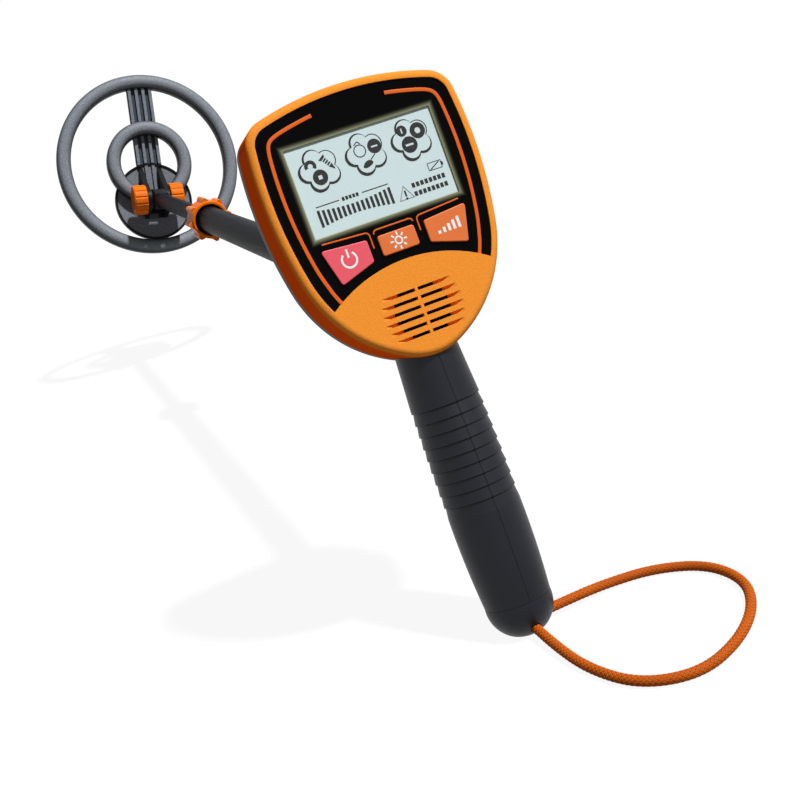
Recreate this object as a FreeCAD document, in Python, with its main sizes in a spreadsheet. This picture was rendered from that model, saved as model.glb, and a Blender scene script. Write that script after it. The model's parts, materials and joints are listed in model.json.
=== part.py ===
import FreeCAD, Part
import math
import os
import re
import Sketcher
from FreeCAD import Vector

# A small metal detector held in one hand, in millimetres.
#
# Frame: +X is the user's right, +Y runs along the shaft towards the search
# coil, +Z is up.  The origin is where the axis of the grip meets the small
# level flat on its foot, and the detector stands on that flat.
#
# The grip and the control box lean back by "rake" from upright.  Pieces of the
# box are drawn in a face frame: x right, y up the face, z out of the face,
# with its origin in the middle of the screen on the surface of the panel.

DIMENSIONS = [
    ("rake", 16, "lean of the grip and the box from upright, degrees"),
    ("shaft_high", 170, "height of the shaft's axis above the foot"),
    ("wall", 2.2, "wall of the mouldings"),
    ("run_gap", 0.3, "gap round pieces that move"),
    ("seat_gap", 0.15, "gap round pieces that are fitted in a recess"),
    ("turn_fit", 0.05, "radial clearance of a shaft in its bore"),
    # control box
    ("screen_up", 238.25, "middle of the screen, up the grip's axis from the foot"),
    ("face_out", 18.5, "panel surface in front of the grip's axis"),
    ("case_half", 56, "half the greatest width of the box"),
    ("case_mid", 1, "height of the greatest width"),
    ("case_bow", 210, "radius of the sides"),
    ("case_top", 45, "top of the box above the middle of the screen"),
    ("top_bow", 162, "radius of the top edge"),
    ("corner_bow", 14, "radius of the top corners"),
    ("chin_bow", 68, "radius of the lower sides"),
    ("case_low", 92, "lowest point of the box below the middle of the screen"),
    ("tip_bow", 32, "radius of the lowest edge"),
    ("case_deep", 24, "depth of the front housing"),
    ("rim_proud", 0.8, "rim of the housing above the panel"),
    ("edge_round", 3.4, "rounding of the front edge"),
    ("panel_thick", 1, "thickness of the face panel"),
    ("deck_thick", 2, "deck of the housing under the panel"),
    ("panel_rim", 4.3, "width of the rim round the panel"),
    ("brow_low", 43.8, "top of the chin below the middle of the screen"),
    ("brow_bow", 75, "radius of the top of the chin"),
    ("cover_deep", 7.8, "depth of the rear cover"),
    ("cover_round", 3.2, "rounding of the rear edge"),
    # screen
    ("screen_wide", 76.5, "opening of the panel at the screen"),
    ("screen_tall", 44, "opening of the panel at the screen"),
    ("screen_ledge", 1, "ledge that carries the window"),
    ("module_wide", 80, "width of the screen module"),
    ("module_tall", 48, "height of the screen module"),
    ("module_thick", 5.4, "thickness of the screen module"),
    ("board_thick", 1.6, "thickness of the circuit board"),
    # buttons
    ("key_in", 15, "inner side of the outer buttons from the middle"),
    ("key_out_top", 38.4, "outer top corner of the outer buttons"),
    ("key_out_low", 33.6, "outer low corner of the outer buttons"),
    ("key_top", 29.6, "top edge of the outer buttons below the middle"),
    ("key_lift", 1.8, "rise of that edge towards the outside"),
    ("key_low", 40.5, "inner low corner of the outer buttons"),
    ("key_drop", 5.8, "drop of the low edge towards the outside"),
    ("mid_key_half", 9.7, "half width of the middle button"),
    ("mid_key_low", 39.7, "low edge of the middle button"),
    ("key_round", 1.6, "corner radius of the button openings"),
    ("key_proud", 1.3, "buttons above the panel"),
    ("key_flange", 1.2, "flange that keeps a button in"),
    ("key_travel", 0.8, "how far a button goes in"),
    ("stem_r", 1.6, "radius of a button's stem"),
    ("switch_side", 6.2, "side of a key switch"),
    ("switch_tall", 3.2, "height of a key switch"),
    ("switch_well", 2, "radius of the well in a key switch"),
    # loudspeaker and its grille
    ("grille_down", 70, "middle of the grille below the middle of the screen"),
    ("grille_r", 21, "reach of the grooves of the grille"),
    ("grille_bow", 61, "radius of the sphere on which the grooves' floors lie"),
    ("grille_pitch", 4.25, "distance from slot to slot"),
    ("slot_wide", 1.6, "width of a slot"),
    ("grille_rib", 1.5, "upright rib across the slots"),
    ("chin_thick", 2, "wall of the chin behind the grille"),
    ("speaker_r", 17, "radius of the loudspeaker"),
    ("speaker_thick", 5, "thickness of the loudspeaker"),
    ("speaker_seat", 1.2, "width of the seat round the loudspeaker"),
    # screws and bosses
    ("boss_r", 3.2, "radius of a screw boss"),
    ("screw_r", 1.45, "radius of a case screw"),
    ("head_r", 2.9, "radius of a case screw's head"),
    ("head_tall", 2.2, "height of a case screw's head"),
    ("column_wall", 1.3, "wall round a case screw's head"),
    ("boss_x_high", 33, "upper bosses from the middle"),
    ("boss_y_high", 35.6, "upper bosses above the middle of the screen"),
    ("boss_x_low", 28.5, "lower bosses from the middle"),
    ("boss_y_low", 72, "lower bosses below the middle of the screen"),
    ("post_x_high", 45.4, "upper board posts from the middle"),
    ("post_y_high", 27, "upper board posts above the middle of the screen"),
    ("post_x_low", 40, "lower board posts from the middle"),
    ("post_y_low", 49.4, "lower board posts below the middle of the screen"),
    # cells
    ("cell_r", 5.25, "radius of a cell"),
    ("cell_long", 44.5, "length of a cell"),
    ("cell_pitch", 11, "distance from cell to cell"),
    ("cell_up", 5, "middle cell above the middle of the screen"),
    ("cell_pip", 1, "height of the pip on a cell's end"),
    ("cell_pip_r", 1.9, "radius of that pip"),
    ("spring_room", 3.75, "room for a spring at each end of the cells"),
    ("door_half_wide", "=cell_long / 2 + spring_room", "half the width of the door's opening"),
    ("door_half_tall", 19, "half the height of the battery door's opening"),
    ("door_thick", 1.8, "thickness of the battery door"),
    ("lip_flat", 0.05, "flat under the rounded lip that the battery door turns on"),
    ("groove_half", 6, "half the length of the door's finger grooves"),
    ("groove_wide", 1.2, "width of a finger groove"),
    ("groove_pitch", 2.4, "distance from finger groove to finger groove"),
    ("groove_edge", 3.8, "first finger groove from the door's edge"),
    ("contact_thick", 0.5, "thickness of a contact plate"),
    # grip
    ("grip_r", 18.9, "greatest radius of the grip"),
    ("neck_r", 15.9, "radius of the grip under the box"),
    ("foot_r", 17.4, "radius of the grip above its end cap"),
    ("grip_swell", 480, "radius of the grip's swell above its foot"),
    ("grip_wall", 2.6, "wall of the grip's halves"),
    ("rib_first", 121, "first groove of the grip, up the axis from the foot"),
    ("rib_pitch", 6.2, "distance from groove to groove"),
    ("rib_count", 9, "number of grooves"),
    ("rib_step", 0.75, "depth of a groove"),
    ("rib_fade", 1.2, "how much slimmer the grip is at its first groove"),
    ("cap_high", 16, "top of the end cap, up the axis"),
    ("cap_ball", 17.5, "radius of the end cap's dome"),
    ("cap_ball_up", 14, "middle of the end cap's dome, up the axis"),
    ("neck_solid", 134, "start of the solid neck, up the axis"),
    ("tongue_half", 11, "half the width of the neck's tongue"),
    ("tongue_back", 6.8, "tongue behind the axis"),
    ("tongue_front", 6.4, "tongue in front of the axis"),
    ("tongue_top", 163, "top of the tongue, up the axis"),
    ("grip_screw_low", 30, "lowest grip screw, up the axis"),
    ("grip_screw_step", 47, "distance from grip screw to grip screw"),
    ("grip_boss_r", 4.2, "radius of a grip boss"),
    ("spigot_tall", 8, "spigot of the end cap"),
    # shaft
    ("tube_r", 11, "radius of the upper tube"),
    ("tube_wall", 1.2, "wall of the upper tube"),
    ("tube_start", 58.5, "inner end of the upper tube along the shaft"),
    ("tube_end", 506, "outer end of the upper tube along the shaft"),
    ("socket_wall", 4.4, "wall of the socket on the rear cover"),
    ("socket_end", 95, "mouth of the socket along the shaft"),
    ("socket_floor", 2, "floor of the socket"),
    ("gusset_out", 7, "reach of the socket's gussets"),
    ("gusset_half", 1.5, "half the thickness of a gusset"),
    ("shaft_screw_in", 14, "the upper tube's screw from the mouth of the socket"),
    ("lower_r", 7.5, "radius of the lower tube"),
    ("lower_wall", 1.2, "wall of the lower tube"),
    ("lower_start", 462, "inner end of the lower tube along the shaft"),
    ("lower_end", 724, "outer end of the lower tube along the shaft"),
    ("stop_long", 3, "length of the stop on the lower tube's inner end"),
    ("stop_proud", 1.5, "height of the stop above the lower tube"),
    ("stop_plug", 8, "depth of the stop's plug in the lower tube"),
    ("bush_start", 468, "inner end of the guide bush"),
    ("bush_long", 12, "length of the guide bush"),
    ("ferrule_start", 486, "inner end of the ferrule"),
    ("ferrule_out", 3, "thickness of the ferrule's flange"),
    ("ferrule_flange_r", 12.2, "radius of the ferrule's flange"),
    ("collet_end", 524, "outer end of the collet"),
    ("collet_r", 10.4, "radius of the collet at its root"),
    ("collar_start", 497, "near end of the lock collar"),
    ("collar_end", 530, "far end of the lock collar"),
    ("collar_r", 15.7, "radius of the lock collar's body"),
    ("collar_nose", 10, "length of the lock collar's tapered nose"),
    ("nose_slim", 3, "how much slimmer the end of the nose is"),
    ("lobe_out", 18.6, "reach of the lock collar's lobes"),
    ("lobe_half", 2.9, "half the width of a lobe"),
    ("lobe_count", 8, "number of lobes"),
    ("mouth_r", 13.4, "radius of the recess round the tube"),
    # coil hinge
    ("twist", 13.4, "turn of the lower shaft about its axis, degrees"),
    ("hinge_far", 752, "hinge of the coil along the shaft"),
    ("coil_tilt", 14.83, "lean of the coil from square to the shaft, degrees"),
    ("tongue_thick", 6, "half the thickness of the shaft's tongue"),
    ("knuckle_r", 10, "radius of the tongue's end"),
    ("knuckle_neck", 12, "straight sides of the tongue behind the hinge"),
    ("plug_long", 14, "depth of the tongue's plug in the lower tube"),
    ("bolt_r", 3, "radius of the hinge bolt"),
    ("ear_r", 10.5, "radius of an ear round the bolt"),
    ("ear_fin", 38, "reach of an ear's fin towards the toe"),
    ("base_heel", 5, "base of the bracket behind the ears"),
    ("base_toe", 2, "base of the bracket in front of the ears"),
    ("bracket_thick", 2.5, "thickness of the bracket's base"),
    ("washer_thick", 1.1, "thickness of a friction washer"),
    ("washer_r", 9, "radius of a friction washer"),
    ("ear_start", 7.3, "inner side of an ear"),
    ("ear_thick", 4.5, "thickness of an ear"),
    ("knob_r", 15, "radius of a knob"),
    ("knob_thick", 13.2, "thickness of a knob"),
    ("knob_edge", 1.2, "chamfer of a knob"),
    ("dish_deep", 1.4, "depth of the dish in a knob"),
    ("flute_count", 14, "flutes of a knob"),
    ("flute_r", 1.3, "radius of a flute"),
    # coil
    ("coil_ahead", 42, "middle of the rings from the hinge, towards the toe"),
    ("coil_below", 26, "middle plane of the outer ring under the hinge"),
    ("ring_r", 86.8, "mean radius of the outer ring"),
    ("small_ring_r", 36.8, "mean radius of the inner ring"),
    ("ring_half", 7.2, "half the width of a ring's section"),
    ("ring_skirt", 5.3, "straight skirt of a ring's section"),
    ("ring_wall", 1.8, "wall of the rings"),
    ("base_thick", 1.6, "thickness of the rings' base plates"),
    ("winding_r", 2.8, "radius of the windings"),
    ("web_thick", 4.5, "thickness of the web"),
    ("disc_r", 40, "radius of the hub disc"),
    ("disc_ahead", 2.4, "middle of the hub disc from the hinge"),
    ("rim_wide", 1.8, "width of the hub disc's rim"),
    ("rim_tall", 1.2, "height of the hub disc's rim"),
    ("spoke_half", 13, "half the width of the spoke"),
    ("spoke_rib", 3, "width of a rib on the spoke"),
    ("spoke_rib_tall", 3.2, "height of a rib on the spoke"),
    ("spoke_rib_pitch", 7.2, "distance from rib to rib"),
    ("rib_start", 4, "the inner ribs' start from the ears"),
    ("spoke_lap", 2, "how far the spoke runs under the outer ring's shell"),
    # wrist strap
    ("cord_r", 2.6, "radius of the wrist strap's cord"),
    ("cord_hole_r", 3, "radius of the strap's holes"),
    ("cord_high", 5, "height of the strap's holes"),
    ("cord_in", 8, "inner ends of the strap's holes from the grip's axis"),
]

ALIASES = [row[0] for row in DIMENSIONS]

document = FreeCAD.newDocument("HandheldDetector")
sheet = document.addObject("Spreadsheet::Sheet", "Size")
for row, (alias, value, meaning) in enumerate(DIMENSIONS, start=1):
    sheet.set("A%d" % row, alias)
    sheet.set("B%d" % row, str(value))
    sheet.set("C%d" % row, meaning)
    sheet.setAlias("B%d" % row, alias)
document.recompute()

NODES = []


# ---------------------------------------------------------------- expressions

def bound(expression):
    """The expression with each size written as a cell of the sheet."""
    def cell(match):
        word = match.group(0)
        return "Size." + word if word in ALIASES else word
    return re.sub(r"[a-z_]+", cell, str(expression))


def value_of(expression):
    """The number that an expression on the sheet gives now."""
    return float(sheet.evalExpression(bound(expression)))


def bind(item, target, expression):
    item.setExpression(target, bound(expression))


LEAN = "rotation(vector(1; 0; 0); 90 - rake)"
GRIP = "placement(vector(0; 0; 0); %s)" % LEAN
FACE = ("placement(vector(0; screen_up * sin(rake) - face_out * cos(rake);"
        " screen_up * cos(rake) + face_out * sin(rake)); %s)" % LEAN)
SHAFT = "placement(vector(0; 0; shaft_high); rotation(vector(1; 0; 0); -90))"
LOWER = ("placement(vector(0; 0; shaft_high);"
         " rotation(vector(0; 1; 0); twist) * rotation(vector(1; 0; 0); -90))")
COIL = ("placement(vector(0; hinge_far; shaft_high);"
        " rotation(vector(0; 1; 0); twist) * rotation(vector(1; 0; 0); 90 - coil_tilt))")

# Heights in the face frame, measured out of the face.
DECK_BACK = "-(panel_thick + deck_thick)"
PARTING = "(rim_proud - case_deep)"
COVER_BACK = "(rim_proud - case_deep - cover_deep)"
BOARD_TOP = "(-(panel_thick + deck_thick) - seat_gap - module_thick)"
SWITCH_TOP = "(%s + switch_tall)" % BOARD_TOP
SHAFT_UP = "(shaft_high / cos(rake) - screen_up)"


# ---------------------------------------------------------------- drawing aids

def new_body(label, frame, node=True):
    body = document.addObject("PartDesign::Body", label)
    body.Label = label
    body.AllowCompound = True
    bind(body, "Placement", frame)
    if node:
        NODES.append(body)
    return body


def new_sketch(body, role, offset=None):
    """A sketch on one of the body's own planes, moved by an offset."""
    sketch = body.newObject("Sketcher::SketchObject", body.Label + "_sketch")
    plane = [item for item in body.Origin.OriginFeatures if item.Role == role][0]
    sketch.AttachmentSupport = [(plane, "")]
    sketch.MapMode = "FlatFace"
    if offset is not None:
        if not offset.startswith("placement"):
            offset = "placement(vector(0; 0; %s); rotation(vector(0; 0; 1); 0))" % offset
        bind(sketch, "AttachmentOffset", offset)
    return sketch


def measure(sketch, kind, *arguments):
    """A dimension whose last argument is an expression on the sheet."""
    expression = arguments[-1]
    fixed = arguments[:-1] + (value_of(expression),)
    index = sketch.addConstraint(Sketcher.Constraint(kind, *fixed))
    sketch.setExpression("Constraints[%d]" % index, bound(expression))


def pin_point(sketch, item, end, across, along):
    """Places one end of a line or arc from the sketch's own origin."""
    for kind, axis, expression in (("DistanceX", -2, across), ("DistanceY", -1, along)):
        if abs(value_of(expression)) < 1e-9:
            sketch.addConstraint(Sketcher.Constraint("PointOnObject", item, end, axis))
        else:
            measure(sketch, kind, -1, 1, item, end, expression)


def arc_between(start, finish, radius):
    """A minor arc; a positive radius turns to the left on its way."""
    chord = finish - start
    middle = (start + finish) * 0.5
    left = Vector(-chord.y, chord.x, 0).normalize()
    rise = math.sqrt(max(radius * radius - chord.Length ** 2 / 4, 0))
    centre = middle + left * (rise if radius > 0 else -rise)
    first, last = (start, finish) if radius > 0 else (finish, start)
    angles = [math.atan2(point.y - centre.y, point.x - centre.x) for point in (first, last)]
    circle = Part.Circle(centre, Vector(0, 0, 1), abs(radius))
    return Part.ArcOfCircle(circle, angles[0], angles[1])


def draw_path(sketch, corners):
    """A closed outline.  A corner is (across, along) or, where an arc leads to
    the next corner, (across, along, radius), all as expressions."""
    points = [Vector(value_of(corner[0]), value_of(corner[1]), 0) for corner in corners]
    ends = []
    for index, corner in enumerate(corners):
        start, finish = points[index], points[(index + 1) % len(points)]
        if len(corner) == 3:
            radius = value_of(corner[2])
            item = sketch.addGeometry(arc_between(start, finish, radius))
            bend = corner[2] if radius > 0 else "-(%s)" % corner[2]
            measure(sketch, "Radius", item, bend)
            ends.append((item, 1, 2) if radius > 0 else (item, 2, 1))
        else:
            item = sketch.addGeometry(Part.LineSegment(start, finish))
            ends.append((item, 1, 2))
    for index, corner in enumerate(corners):
        item, first, last = ends[index]
        following, its_first, its_last = ends[(index + 1) % len(ends)]
        pin_point(sketch, item, first, corner[0], corner[1])
        sketch.addConstraint(
            Sketcher.Constraint("Coincident", item, last, following, its_first))


def draw_box(sketch, left, right, low, high):
    draw_path(sketch, [(left, low), (right, low), (right, high), (left, high)])


def draw_circle(sketch, across, along, radius):
    centre = Vector(value_of(across), value_of(along), 0)
    circle = Part.Circle(centre, Vector(0, 0, 1), value_of(radius))
    item = sketch.addGeometry(circle)
    measure(sketch, "Radius", item, radius)
    pin_point(sketch, item, 3, across, along)


def add_feature(body, kind, sketch):
    feature = body.newObject("PartDesign::" + kind, body.Label + "_" + kind.lower())
    feature.Profile = (sketch, [""])
    return feature


def pad(body, sketch, length, back=False, both=False):
    feature = add_feature(body, "Pad", sketch)
    bind(feature, "Length", length)
    feature.Reversed = back
    feature.Midplane = both
    document.recompute()
    return feature


def pocket(body, sketch, length, forward=False, both=False):
    """Cuts against the sketch's normal, or along it where forward is set."""
    before = body.Shape.Volume
    feature = add_feature(body, "Pocket", sketch)
    bind(feature, "Length", length)
    feature.Reversed = forward
    feature.Midplane = both
    document.recompute()
    if body.Shape.Volume > before - 1e-3:
        raise ValueError("a pocket of %s cuts nothing" % body.Label)
    return feature


def revolve(body, sketch, axis="V_Axis", angle=360, back=False):
    feature = add_feature(body, "Revolution", sketch)
    feature.ReferenceAxis = (sketch, [axis])
    feature.Angle = angle
    feature.Reversed = back
    document.recompute()
    return feature


def soften(body, kind, size, wanted):
    """A fillet or chamfer on the edges that the test picks."""
    tip = body.Tip
    names = ["Edge%d" % number for number, edge in enumerate(tip.Shape.Edges, start=1)
             if wanted(edge)]
    if not names:
        raise ValueError("%s has no edge to soften" % body.Label)
    feature = body.newObject("PartDesign::" + kind, body.Label + "_" + kind.lower())
    feature.Base = (tip, names)
    bind(feature, "Radius" if kind == "Fillet" else "Size", size)
    document.recompute()
    return feature


def edge_at(height):
    """Picks level edges at a height in the body's own frame."""
    level = value_of(height)

    def wanted(edge):
        box = edge.BoundBox
        return abs(box.ZMin - level) < 1e-4 and abs(box.ZMax - level) < 1e-4
    return wanted


def upright(edge):
    """Picks straight edges that stand along the body's own z."""
    box = edge.BoundBox
    return box.XLength < 1e-4 and box.YLength < 1e-4 and box.ZLength > 1e-3


def polar(body, feature, count, sketch_axis="Z_Axis"):
    """Repeats a feature about one of the body's own axes."""
    pattern = body.newObject("PartDesign::PolarPattern", body.Label + "_pattern")
    pattern.Originals = [feature]
    axis = [item for item in body.Origin.OriginFeatures if item.Role == sketch_axis][0]
    pattern.Axis = (axis, [""])
    pattern.Angle = 360
    bind(pattern, "Occurrences", count)
    body.Tip = pattern
    document.recompute()
    return pattern


def turned(label, frame, profile, node=True):
    """A body turned about its own z from a profile of (radius, height)."""
    body = new_body(label, frame, node)
    sketch = new_sketch(body, "XZ_Plane")
    draw_path(sketch, profile)
    revolve(body, sketch)
    return body


def group(label, pieces):
    """One node of several equal solids."""
    compound = document.addObject("Part::Compound", label)
    compound.Label = label
    compound.Links = pieces
    NODES.append(compound)
    return compound


# ------------------------------------------------------------ the box's outline

def meeting(first, first_r, second, second_r, right):
    """Where two circles cross, on the right or on the left of the line between."""
    apart = second - first
    along = (apart.Length ** 2 + first_r ** 2 - second_r ** 2) / (2 * apart.Length)
    aside = math.sqrt(max(first_r ** 2 - along ** 2, 0))
    unit = apart * (1 / apart.Length)
    side = Vector(unit.y, -unit.x, 0) * (aside if right else -aside)
    return first + unit * along + side


def draw_case(sketch, inset="0"):
    """The shield outline of the box, drawn smaller all round by an inset.

    Each half is a top edge, a corner, a side, a lower side and the lowest edge:
    five arcs that run into each other.  The left half mirrors the right."""
    names = ["top_bow", "corner_bow", "case_bow", "chin_bow", "tip_bow"]
    radii = [value_of(name) for name in names]
    top = Vector(0, value_of("case_top - top_bow"), 0)
    side = Vector(value_of("case_half - case_bow"), value_of("case_mid"), 0)
    tip = Vector(0, value_of("tip_bow - case_low"), 0)
    corner = meeting(top, radii[0] - radii[1], side, radii[2] - radii[1], True)
    chin = meeting(side, radii[2] - radii[3], tip, radii[3] - radii[4], False)
    centres = [top, corner, side, chin, tip]
    joins = [corner - top, corner - side, chin - side, tip - chin]
    angles = [math.pi / 2] + [math.atan2(step.y, step.x) for step in joins] + [-math.pi / 2]
    shrink = value_of(inset)
    right = []
    left = []
    for centre, radius, name, first, last in zip(centres, radii, names, angles, angles[1:]):
        circle = Part.Circle(centre, Vector(0, 0, 1), radius - shrink)
        right.append(sketch.addGeometry(Part.ArcOfCircle(circle, last, first)))
        far = Part.Circle(Vector(-centre.x, centre.y, 0), Vector(0, 0, 1), radius - shrink)
        arc = Part.ArcOfCircle(far, math.pi - first, math.pi - last)
        left.append(sketch.addGeometry(arc))
        measure(sketch, "Radius", right[-1], "%s - (%s)" % (name, inset))
    for arc, following in zip(right, right[1:]):
        sketch.addConstraint(Sketcher.Constraint("Tangent", arc, 1, following, 2))
    for end, height, arc in ((2, "case_top - (%s)" % inset, right[0]),
                             (1, "-(case_low - (%s))" % inset, right[-1])):
        sketch.addConstraint(Sketcher.Constraint("PointOnObject", arc, 3, -2))
        sketch.addConstraint(Sketcher.Constraint("PointOnObject", arc, end, -2))
        measure(sketch, "DistanceY", -1, 1, arc, end, height)
    pin_point(sketch, right[2], 3, "case_half - case_bow", "case_mid")
    for arc, twin in zip(right, left):
        for end, its_end, on_axis in ((1, 2, arc == right[-1]), (2, 1, arc == right[0])):
            pair = (arc, end, twin, its_end)
            match = ("Coincident",) + pair if on_axis else ("Symmetric",) + pair + (-2,)
            sketch.addConstraint(Sketcher.Constraint(*match))
        sketch.addConstraint(Sketcher.Constraint("Equal", arc, twin))


def boss_places():
    return [(sign + "boss_x_high", "boss_y_high") for sign in ("", "-")] \
        + [(sign + "boss_x_low", "-boss_y_low") for sign in ("", "-")]


def post_places():
    return [(sign + "post_x_high", "post_y_high") for sign in ("", "-")] \
        + [(sign + "post_x_low", "-post_y_low") for sign in ("", "-")]


def draw_circles(sketch, places, radius):
    for across, along in places:
        draw_circle(sketch, across, along, radius)


def draw_outer_key(sketch, grow, hand):
    """An outer button's outline, larger all round by grow; hand is "" or "-"."""
    corners = [
        ("%s(key_in - %s)" % (hand, grow), "-(key_top - %s)" % grow),
        ("%s(key_in - %s)" % (hand, grow), "-(key_low + %s)" % grow),
        ("%s(key_out_low + %s)" % (hand, grow), "-(key_low + key_drop + %s)" % grow),
        ("%s(key_out_top + %s)" % (hand, grow), "-(key_top - key_lift - %s)" % grow),
    ]
    draw_path(sketch, corners)


def draw_middle_key(sketch, grow):
    draw_box(sketch, "-(mid_key_half + %s)" % grow, "mid_key_half + %s" % grow,
             "-(mid_key_low + %s)" % grow, "-(key_top - %s)" % grow)


def cut_key_openings(body, level):
    """Openings for the three buttons through the deck or the panel."""
    for hand in ("-", ""):
        sketch = new_sketch(body, "XY_Plane", level)
        draw_outer_key(sketch, "run_gap", hand)
        pocket(body, sketch, "panel_thick + deck_thick + run_gap")
    sketch = new_sketch(body, "XY_Plane", level)
    draw_middle_key(sketch, "run_gap")
    pocket(body, sketch, "panel_thick + deck_thick + run_gap")


# ------------------------------------------------------------------ control box

def make_front_housing():
    body = new_body("front_housing", FACE)
    sketch = new_sketch(body, "XY_Plane", "rim_proud")
    draw_case(sketch)
    pad(body, sketch, "case_deep", back=True)
    soften(body, "Fillet", "edge_round", edge_at("rim_proud"))
    sketch = new_sketch(body, "XY_Plane", PARTING)
    draw_case(sketch, "wall")
    pocket(body, sketch, "case_deep - rim_proud - panel_thick - deck_thick", forward=True)
    cut_panel_recess(body)
    sketch = new_sketch(body, "XY_Plane", "-panel_thick")
    draw_box(sketch, "-(screen_wide / 2 - screen_ledge)", "screen_wide / 2 - screen_ledge",
             "-(screen_tall / 2 - screen_ledge)", "screen_tall / 2 - screen_ledge")
    pocket(body, sketch, "deck_thick")
    cut_key_openings(body, "-panel_thick")
    add_housing_bosses(body)
    cut_grille(body)
    sketch = new_sketch(body, "XY_Plane", PARTING)
    draw_box(sketch, "-(tongue_half + run_gap)", "tongue_half + run_gap",
             "-(case_low + 1)", "-(case_low - 2 * wall)")
    pocket(body, sketch, "case_deep - rim_proud - face_out + tongue_front + run_gap",
           forward=True)
    return body


def draw_panel(body, inset, level, thickness):
    """The face panel's outline as a pad whose lower edge is the chin's arch."""
    sketch = new_sketch(body, "XY_Plane", level)
    draw_case(sketch, inset)
    pad(body, sketch, thickness)
    sketch = new_sketch(body, "XY_Plane", level)
    draw_circle(sketch, "0", "-(brow_low + brow_bow)", "brow_bow + (%s) - panel_rim" % inset)
    pocket(body, sketch, thickness, forward=True)


def cut_panel_recess(body):
    """The recess that the face panel lies in, cut with the panel's own outline."""
    tool = new_body("panel_recess", "placement(vector(0; 0; 0); rotation(vector(0; 0; 1); 0))",
                    node=False)
    draw_panel(tool, "panel_rim - seat_gap", "-panel_thick", "panel_thick + rim_proud + 1")
    cut = body.newObject("PartDesign::Boolean", "panel_recess_cut")
    cut.setObjects([tool])
    cut.Type = "Cut"
    document.recompute()


def add_housing_bosses(body):
    """Bosses for the case screws and posts for the circuit board."""
    sketch = new_sketch(body, "XY_Plane", PARTING)
    draw_circles(sketch, boss_places(), "boss_r")
    pad(body, sketch, "case_deep - rim_proud - panel_thick - deck_thick")
    sketch = new_sketch(body, "XY_Plane", "%s + seat_gap" % BOARD_TOP)
    draw_circles(sketch, post_places(), "boss_r")
    pad(body, sketch, "module_thick")
    sketch = new_sketch(body, "XY_Plane", PARTING)
    draw_circles(sketch, boss_places(), "screw_r + turn_fit")
    pocket(body, sketch, "case_deep * 0.7", forward=True)
    sketch = new_sketch(body, "XY_Plane", "%s + seat_gap" % BOARD_TOP)
    draw_circles(sketch, post_places(), "screw_r * 0.7 + turn_fit")
    pocket(body, sketch, "module_thick * 0.8", forward=True)


def cut_grille(body):
    """A thin wall behind the grille, and slots that thin out into grooves.

    Each slot is a slice of one sphere, so its ends rise to the surface and only
    its middle goes through; an upright rib is left across the slots."""
    sketch = new_sketch(body, "XY_Plane", DECK_BACK)
    draw_circle(sketch, "0", "-grille_down", "speaker_r - speaker_seat")
    pocket(body, sketch, "rim_proud + panel_thick + deck_thick - chin_thick", forward=True)
    for step in (-2.5, -1.5, -0.5, 0.5, 1.5, 2.5):
        reach = "sqrt(grille_r ^ 2 - (%s * grille_pitch) ^ 2)" % abs(step)
        above = "rim_proud + sqrt(grille_bow ^ 2 - (%s) ^ 2)" % reach
        for hand in ("", "-"):
            sketch = new_sketch(body, "XZ_Plane", "grille_down - (%s) * grille_pitch" % step)
            inner = "%s(grille_rib / 2)" % hand
            outer = "%s%s" % (hand, reach)
            floor = "rim_proud - sqrt(grille_bow ^ 2 - grille_rib ^ 2 / 4)" \
                    " + sqrt(grille_bow ^ 2 - (%s) ^ 2)" % reach
            bend = "grille_bow" if hand == "" else "-grille_bow"
            draw_path(sketch, [(inner, floor, bend), (outer, "rim_proud"),
                               (inner, "rim_proud")])
            pocket(body, sketch, "slot_wide", both=True)


def make_rear_cover():
    body = new_body("rear_cover", FACE)
    sketch = new_sketch(body, "XY_Plane", COVER_BACK)
    draw_case(sketch)
    pad(body, sketch, "cover_deep - seat_gap / 3")
    soften(body, "Fillet", "cover_round", edge_at(COVER_BACK))
    sketch = new_sketch(body, "XY_Plane", PARTING)
    draw_case(sketch, "wall")
    pocket(body, sketch, "cover_deep - wall")
    add_cell_bay(body)
    add_cover_columns(body)
    add_socket(body)
    sketch = new_sketch(body, "XY_Plane", PARTING)
    draw_box(sketch, "-(tongue_half + run_gap)", "tongue_half + run_gap",
             "-(case_low + 1)", "-(case_low - 2 * wall)")
    pocket(body, sketch, "face_out + tongue_back + run_gap - case_deep + rim_proud")
    return body


def add_cell_bay(body):
    """The walls round the cells and the opening for the battery door."""
    sketch = new_sketch(body, "XY_Plane", COVER_BACK)
    draw_box(sketch, "-(door_half_wide + wall)", "door_half_wide + wall",
             "cell_up - door_half_tall - wall", "cell_up + door_half_tall + wall")
    pad(body, sketch, "wall + 2 * cell_r + 1")
    sketch = new_sketch(body, "XY_Plane", COVER_BACK)
    draw_box(sketch, "-door_half_wide", "door_half_wide",
             "cell_up - door_half_tall", "cell_up + door_half_tall")
    pocket(body, sketch, "3 * cover_deep", forward=True)


def add_cover_columns(body):
    """Columns for the case screws, with recesses for their heads."""
    sketch = new_sketch(body, "XY_Plane", "%s + wall" % COVER_BACK)
    draw_circles(sketch, boss_places(), "head_r + column_wall")
    pad(body, sketch, "cover_deep - wall - seat_gap / 3")
    sketch = new_sketch(body, "XY_Plane", COVER_BACK)
    draw_circles(sketch, boss_places(), "screw_r + turn_fit")
    pocket(body, sketch, "cover_deep", forward=True)
    sketch = new_sketch(body, "XY_Plane", COVER_BACK)
    draw_circles(sketch, boss_places(), "head_r + run_gap")
    pocket(body, sketch, "head_tall + run_gap", forward=True)


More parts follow.
